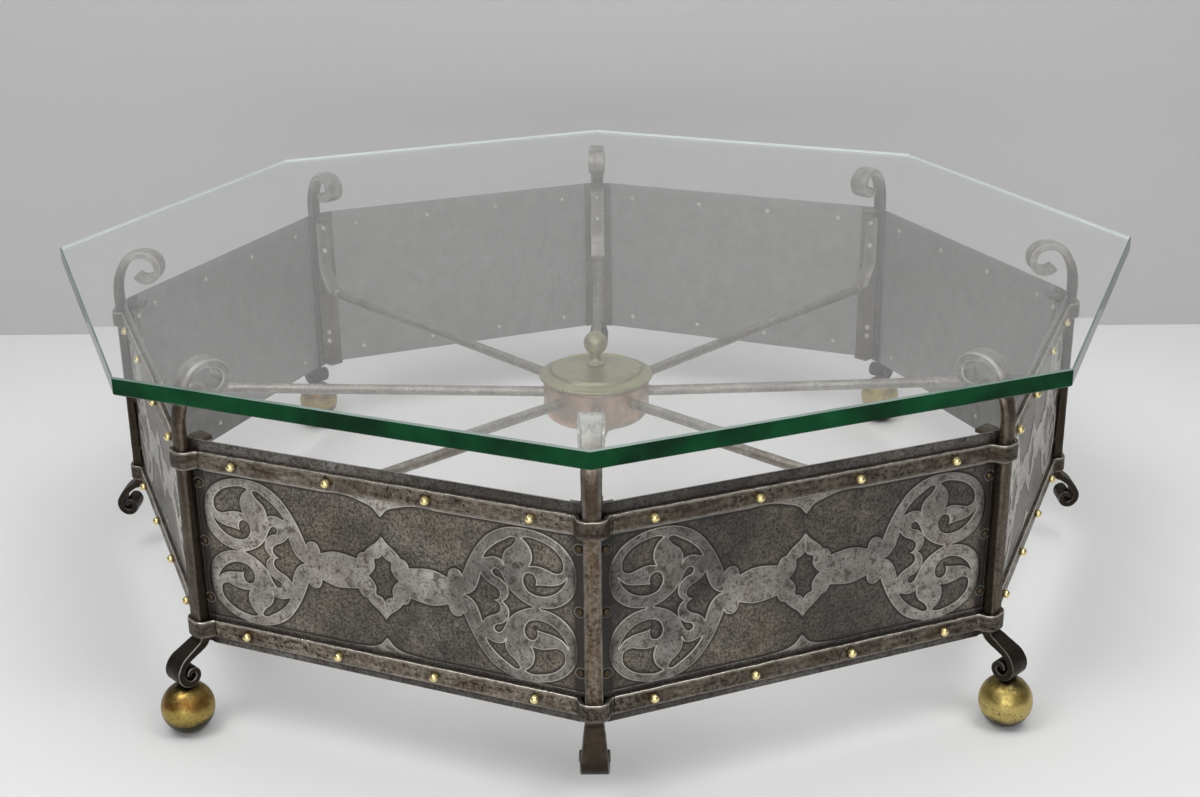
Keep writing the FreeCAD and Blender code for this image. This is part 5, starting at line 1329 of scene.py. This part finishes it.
# %% Name the turner's helpers
def arc(middle, radius, first, last, count=9):
    """Points on a circle about a middle, from one angle to another in degrees."""
    turns = np.radians(np.linspace(first, last, count))
    return [(middle[0] + radius * math.cos(turn), middle[1] + radius * math.sin(turn)) for turn in turns]


def turn_piece(name, profile, finish, node, segments=96):
    """A profile of (radius, height) in millimetres from bottom to top, carried round the upright axis."""
    radius, height = np.array(profile).T * MM
    turns = np.arange(segments) * 2 * math.pi / segments
    grid = np.stack([np.multiply.outer(radius, np.cos(turns)), np.multiply.outer(radius, np.sin(turns)),
                     np.repeat(height[:, None], segments, axis=1)], axis=-1)
    piece = make_piece(name, with_poles(grid), tube_faces(*grid.shape[:2]), finish)
    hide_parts(node)


print("a profile can be turned about the upright axis")

# %% Turn the cover and the finial
cover_low, cover_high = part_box("hub_cover")
COVER_LOW, COVER_HIGH, COVER_RIM = cover_low.z / MM, cover_high.z / MM, cover_high.x / MM
FINIAL_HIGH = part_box("hub_finial")[1].z / MM
FINIAL_BALL = 15.2
cover_profile = ([(COVER_RIM - 6, COVER_LOW + 0.2), (COVER_RIM - 2.4, COVER_LOW)]
                 + arc((COVER_RIM - 1.7, COVER_LOW + 1.7), 1.7, -90, 80, 8)
                 + [(COVER_RIM - 4.5, COVER_LOW + 3.0), (COVER_RIM - 9.0, COVER_LOW + 4.4),
                    (COVER_RIM - 13.0, COVER_LOW + 6.4), (COVER_RIM - 14.6, COVER_LOW + 8.0)]
                 + arc((COVER_RIM - 17.2, COVER_LOW + 8.6), 2.2, 0, 120, 8)
                 + [(COVER_RIM - 20.5, COVER_LOW + 9.6), (COVER_RIM - 26, COVER_LOW + 10.2),
                    (COVER_RIM - 40, COVER_LOW + 12.2), (COVER_RIM - 56, COVER_HIGH - 0.6),
                    (12.4, COVER_HIGH)])
turn_piece("turned_hub_cover", cover_profile, hub_brass, "hub_cover")
finial_middle = FINIAL_HIGH - FINIAL_BALL
finial_profile = ([(10.5, COVER_HIGH), (12.0, COVER_HIGH + 0.4)]
                  + arc((10.4, COVER_HIGH + 2.0), 1.6, -20, 80, 6)
                  + [(8.9, COVER_HIGH + 4.3), (7.2, COVER_HIGH + 6.4), (6.4, COVER_HIGH + 9.0),
                     (6.5, COVER_HIGH + 11.2), (7.4, COVER_HIGH + 12.6), (7.4, COVER_HIGH + 13.6)]
                  + arc((0.0, finial_middle), FINIAL_BALL, -62, 89, 26))
turn_piece("turned_hub_finial", finial_profile, hub_brass, "hub_finial", 64)
print(f"cover {2 * COVER_RIM:.1f} mm across, finial up to {FINIAL_HIGH:.1f} mm")

# %% Spin the bowl and turn the knob
BOWL_LOW, BOWL_HIGH = (corner.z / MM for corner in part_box("hub_bowl"))
bowl_side = BOWL_RADIUS / MM
bowl_profile = ([(9.0, BOWL_LOW), (12.6, BOWL_LOW + 0.4), (13.2, BOWL_LOW + 2.2), (13.8, BOWL_LOW + 5.0),
                 (16.5, BOWL_LOW + 9.5), (21.5, BOWL_LOW + 13.2), (26.5, BOWL_LOW + 15.6),
                 (29.4, BOWL_LOW + 17.2)]
                + arc((29.2, BOWL_LOW + 18.6), 1.4, -70, 70, 5)
                + [(31.5, BOWL_LOW + 21.4), (37.0, BOWL_LOW + 24.2), (45.0, BOWL_LOW + 26.9),
                   (53.5, BOWL_LOW + 29.8)]
                + arc((bowl_side - 15, BOWL_LOW + 45), 15, -62, 0, 9)
                + [(bowl_side, BOWL_LOW + 60), (bowl_side, BOWL_HIGH - 6), (bowl_side - 0.2, BOWL_HIGH)])
turn_piece("spun_hub_bowl", bowl_profile, bowl_copper, "hub_bowl")
KNOB_LOW, KNOB_HIGH = (corner.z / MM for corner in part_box("hub_bottom_knob"))
knob_profile = ([(1.2, KNOB_LOW)] + arc((2.5, KNOB_LOW + 6.0), 6.0, -85, 30, 12)
                + [(6.4, KNOB_HIGH - 2.6), (7.6, KNOB_HIGH - 1.2), (7.9, KNOB_HIGH)])
turn_piece("turned_bottom_knob", knob_profile, core_steel, "hub_bottom_knob", 48)
print(f"bowl {2 * bowl_side:.1f} mm across, knob down to {KNOB_LOW:.1f} mm")

# %% [markdown]
# ## Ball feet and rivets
#
# Four solid brass balls carry the table, worn flat where they stand. The rivets on the rails have nearly
# round brass heads. Those along the panels' edges are nearly flush, each with a ring round it, and those
# inside the corners are low domes. Each profile is turned about its own axis and repeated by whole
# arrays.

# %% Repeat a turned shape
def turned_copies(profile, bases, axes, firsts, segments):
    """A profile of (radius, height) turned about each axis at each base; points and faces of all copies."""
    radius, height = np.array(profile).T * MM
    turns = np.arange(segments) * 2 * math.pi / segments
    seconds = np.cross(axes, firsts)
    rings = (np.multiply.outer(np.cos(turns), firsts) + np.multiply.outer(np.sin(turns), seconds))
    grid = (bases[:, None, None] + height[None, :, None, None] * axes[:, None, None]
            + radius[None, :, None, None] * rings.transpose(1, 0, 2)[:, None])
    copies = np.stack([with_poles(copy) for copy in grid])
    quads, caps = tube_faces(len(radius), segments)
    shift = copies.shape[1] * np.arange(len(bases))[:, None, None]
    return copies.reshape(-1, 3), [(quads + shift).reshape(-1, 4), (caps + shift).reshape(-1, 3)]


def joined(*sets):
    """Several sets of points and faces as one."""
    points, faces, start = [], [], 0
    for some_points, some_faces in sets:
        points.append(some_points)
        faces += [group + start for group in some_faces]
        start += len(some_points)
    return np.concatenate(points), faces


def side_places(apothem, alongs, heights):
    """Every place on every side: its point, the side's outward direction and its sideways direction."""
    rows = [(apothem * outward(angle) + along * sideways(angle) + height * UP,
             outward(angle), sideways(angle))
            for angle in SIDES.values() for along in alongs for height in heights]
    return [np.array(column) for column in zip(*rows)]


def corner_places(radii_and_heights):
    """Every place inside every corner: its point, the direction inwards and the sideways direction."""
    rows = [(radius * outward(angle) + height * UP, -outward(angle), sideways(angle))
            for angle in CORNERS.values() for radius, height in radii_and_heights]
    return [np.array(column) for column in zip(*rows)]


print("a turned shape can be repeated on every side and corner")

# %% Set the rivets
HEAD, HEAD_MIDDLE, DOME, TAIL = 4.8, 2.8, 4.4, 3.2
UPPER_RIVET_DROP, LOWER_RIVET_RISE = 9 * MM, 22.9 * MM
STRAP_RIVET_RISES = (50.8 * MM, 36.8 * MM)
PADDLE_INNER = PADDLE_MIDDLE - PADDLE_THICKNESS / 2
TONGUE_INNER = TONGUE_MIDDLE - TONGUE_THICKNESS / 2
UPRIGHT_START = PADDLE_TOP - spoke_line()[1][-1][0]
round_head = [(3.6, -0.4)] + arc((0.0, HEAD_MIDDLE), HEAD, -36, 85, 12)
dome = [(DOME, -0.4)] + arc((0.0, 0.0), DOME, 5, 85, 9)
tail = [(TAIL, -0.3), (TAIL, 0.3), (2.8, 1.0), (1.7, 1.45), (0.6, 1.6)]
flush = [(EDGE_HEAD, -1.0), (EDGE_HEAD, 0.3), (3.3, 0.7), (2.4, 1.1), (1.3, 1.32), (0.5, 1.4)]

heads = side_places(PANEL_FACE + RAIL_THICKNESS, RIVET_ALONGS, RAIL_MIDDLES.values())
tail_points, tail_ways, tail_sides = side_places(PANEL_BACK, RIVET_ALONGS, RAIL_MIDDLES.values())
edges = side_places(PANEL_FACE, (-EDGE_RIVET_HALF, EDGE_RIVET_HALF), PANEL_MIDDLE + EDGE_RIVET_RISES)
inner = corner_places([(PADDLE_INNER, PADDLE_TOP - UPPER_RIVET_DROP),
                       (PADDLE_INNER, UPRIGHT_START + LOWER_RIVET_RISE)]
                      + [(TONGUE_INNER, PANEL_LOW + rise) for rise in STRAP_RIVET_RISES])
head_set = turned_copies(round_head, *heads, 18)
tail_set = turned_copies(tail, tail_points, -tail_ways, tail_sides, 14)
rail_rivets = make_piece("round_rail_rivets", *joined(head_set, tail_set), rivet_brass)
rail_rivets.data.materials.append(tail_brass)
face_counts = [sum(map(len, faces)) for points, faces in (head_set, tail_set)]
rail_rivets.data.polygons.foreach_set("material_index", np.repeat((0, 1), face_counts).astype(np.int32))
edge_rivets = make_piece("flush_edge_rivets", *turned_copies(flush, *edges, 18), edge_brass)
post_rivets = make_piece("dome_post_rivets", *turned_copies(dome, *inner, 16), tail_brass)
for rivets, node in ((rail_rivets, "rail_rivets"), (edge_rivets, "panel_edge_rivets"),
                     (post_rivets, "post_rivets")):
    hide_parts(node)
print(f"{len(heads[0])} rail rivets, {len(edges[0])} edge rivets, {len(inner[0])} post rivets")

# %% Set the balls
BALL_RADIUS, BALL_FLAT = 28.575, 0.3
BALL_OUT = (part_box("ball_feet")[1].x - BALL_RADIUS * MM) * math.sqrt(2)
flat_turn = math.degrees(math.asin((BALL_FLAT - BALL_RADIUS) / BALL_RADIUS))
ball = arc((0.0, BALL_RADIUS - BALL_FLAT), BALL_RADIUS, flat_turn, 88, 40)
ball_places = np.array([BALL_OUT * outward(CORNERS[corner]) for corner in BALL_CORNERS])
ball_ups, ball_firsts = (np.tile(way, (len(BALL_CORNERS), 1)) for way in (UP, outward(0)))
ball_points, ball_faces = turned_copies(ball, ball_places, ball_ups, ball_firsts, 64)
balls = make_piece("brass_ball_feet", ball_points, ball_faces, ball_brass)
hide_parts("ball_feet")
print(f"{len(BALL_CORNERS)} balls, {BALL_OUT:.4f} m from the middle of the table")

# %% [markdown]
# ## Glass plate
#
# The plate is thick float glass with ground bevels. It is nearly clear from above, and deep green at its
# edge, where the light has come a long way through it. A glass shader with a slight tint gives the clear
# faces. Following that long way would take more light bounces than a render allows, so the edge and the
# bevel below it have a finish of their own that is simply dark green, and the bevel above has a pale one.
# Seen from inside, through the top of the plate, the far edges catch the light and show as pale lines.

# %% Shape the plate
PLATE_RADIUS = glass_high.x
ARRIS = 1.6 * MM
arris_in = ARRIS / math.cos(HALF_ANGLE)
plate_profile = ((PLATE_RADIUS - arris_in, glass_low.z), (PLATE_RADIUS, glass_low.z + ARRIS),
                 (PLATE_RADIUS, glass_high.z - ARRIS), (PLATE_RADIUS - arris_in, glass_high.z))
corner_ways = np.array([outward(angle) for angle in CORNERS.values()])
plate_points = np.concatenate([radius * corner_ways + height * UP for radius, height in plate_profile])
index = np.arange(len(plate_points)).reshape(len(plate_profile), len(CORNERS))
beside = np.roll(index, -1, axis=1)
plate_sides = np.stack([index[:-1], beside[:-1], beside[1:], index[1:]], axis=-1).reshape(-1, 4)
plate_faces = [plate_sides, np.stack([index[0][::-1], index[-1]])]
CLEAR, EDGE, BEVEL = range(3)
face_finishes = np.concatenate([np.repeat((EDGE, EDGE, BEVEL), len(CORNERS)), (CLEAR, CLEAR)])


print(f"plate {2 * PLATE_RADIUS:.4f} m over its corners, {(glass_high.z - glass_low.z) / MM:.2f} mm thick")

# %% Mix the glass and cut the plate
LIT_EDGE = (0.62, 0.68, 0.66, 1)
GLASS_IOR = 1.52
EDGE_SHINE = 0.09


def plate_finish(name, low, high, scale, roughness, from_inside=None):
    """A finish that varies slowly between two colours, with a third where it is seen from inside.

    The clear faces have no third colour, and get their transmission afterwards.
    """
    finish, tree, shader, places = new_finish(name)
    slow = span(tree, noise(tree, places, scale, 3.0, 0.6), 0.36, 0.64)
    colour = blend(tree, slow, low, high)
    if from_inside:
        behind = tree.nodes.new("ShaderNodeNewGeometry").outputs["Backfacing"]
        colour = blend(tree, behind, colour, from_inside)
    tree.links.new(colour, shader.inputs["Base Color"])
    shader.inputs["Roughness"].default_value = roughness
    shader.inputs["IOR"].default_value = GLASS_IOR
    return finish, shader


clear_glass, clear_shader = plate_finish("clear_plate_glass", (0.985, 0.995, 0.990, 1),
                                         (0.985, 1, 0.99, 1), 9.0, 0.0)
clear_shader.inputs["Transmission Weight"].default_value = 1.0
green_edge, green_shader = plate_finish("green_plate_edge", (0.0008, 0.020, 0.0066, 1),
                                        (0.0020, 0.062, 0.0200, 1), 13.0, 0.12, LIT_EDGE)
green_shader.inputs["Specular IOR Level"].default_value = EDGE_SHINE
pale_bevel = plate_finish("ground_plate_bevel", (0.10, 0.15, 0.13, 1), (0.16, 0.22, 0.195, 1),
                          14.0, 0.35, LIT_EDGE)[0]

plate = make_piece("cut_glass_plate", plate_points, plate_faces, clear_glass, body="glass",
                   smooth=(False, False))
plate.data.materials.append(green_edge)
plate.data.materials.append(pale_bevel)
plate.data.polygons.foreach_set("material_index", face_finishes.astype(np.int32))
plate.visible_shadow = False
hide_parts("glass_top")
print(f"the plate has {len(plate.data.materials)} finishes")

# %% [markdown]
# ## Solids that stay
#
# The corner straps, the studs and the hub's inner parts are already right as solids and hardly seen, so
# they keep their shape and only take a finish.

# %% Finish the solids that stay
KEPT_FINISHES = {"corner_strap": strap_iron, "hub_core": core_steel, "hub_tie_rod": core_steel,
                 "ball_studs": core_steel}
for node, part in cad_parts.items():
    for start, finish in KEPT_FINISHES.items():
        if node.startswith(start):
            part.data.materials.clear()
            part.data.materials.append(finish)
print("straps, studs and hub core have their finish")

# %% Compare the boxes and finish
visual_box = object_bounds()
for label, (low, high) in (("CAD", CAD_BOX), ("visual", visual_box)):
    print(label, [round(x, 4) for x in low], [round(x, 4) for x in high])
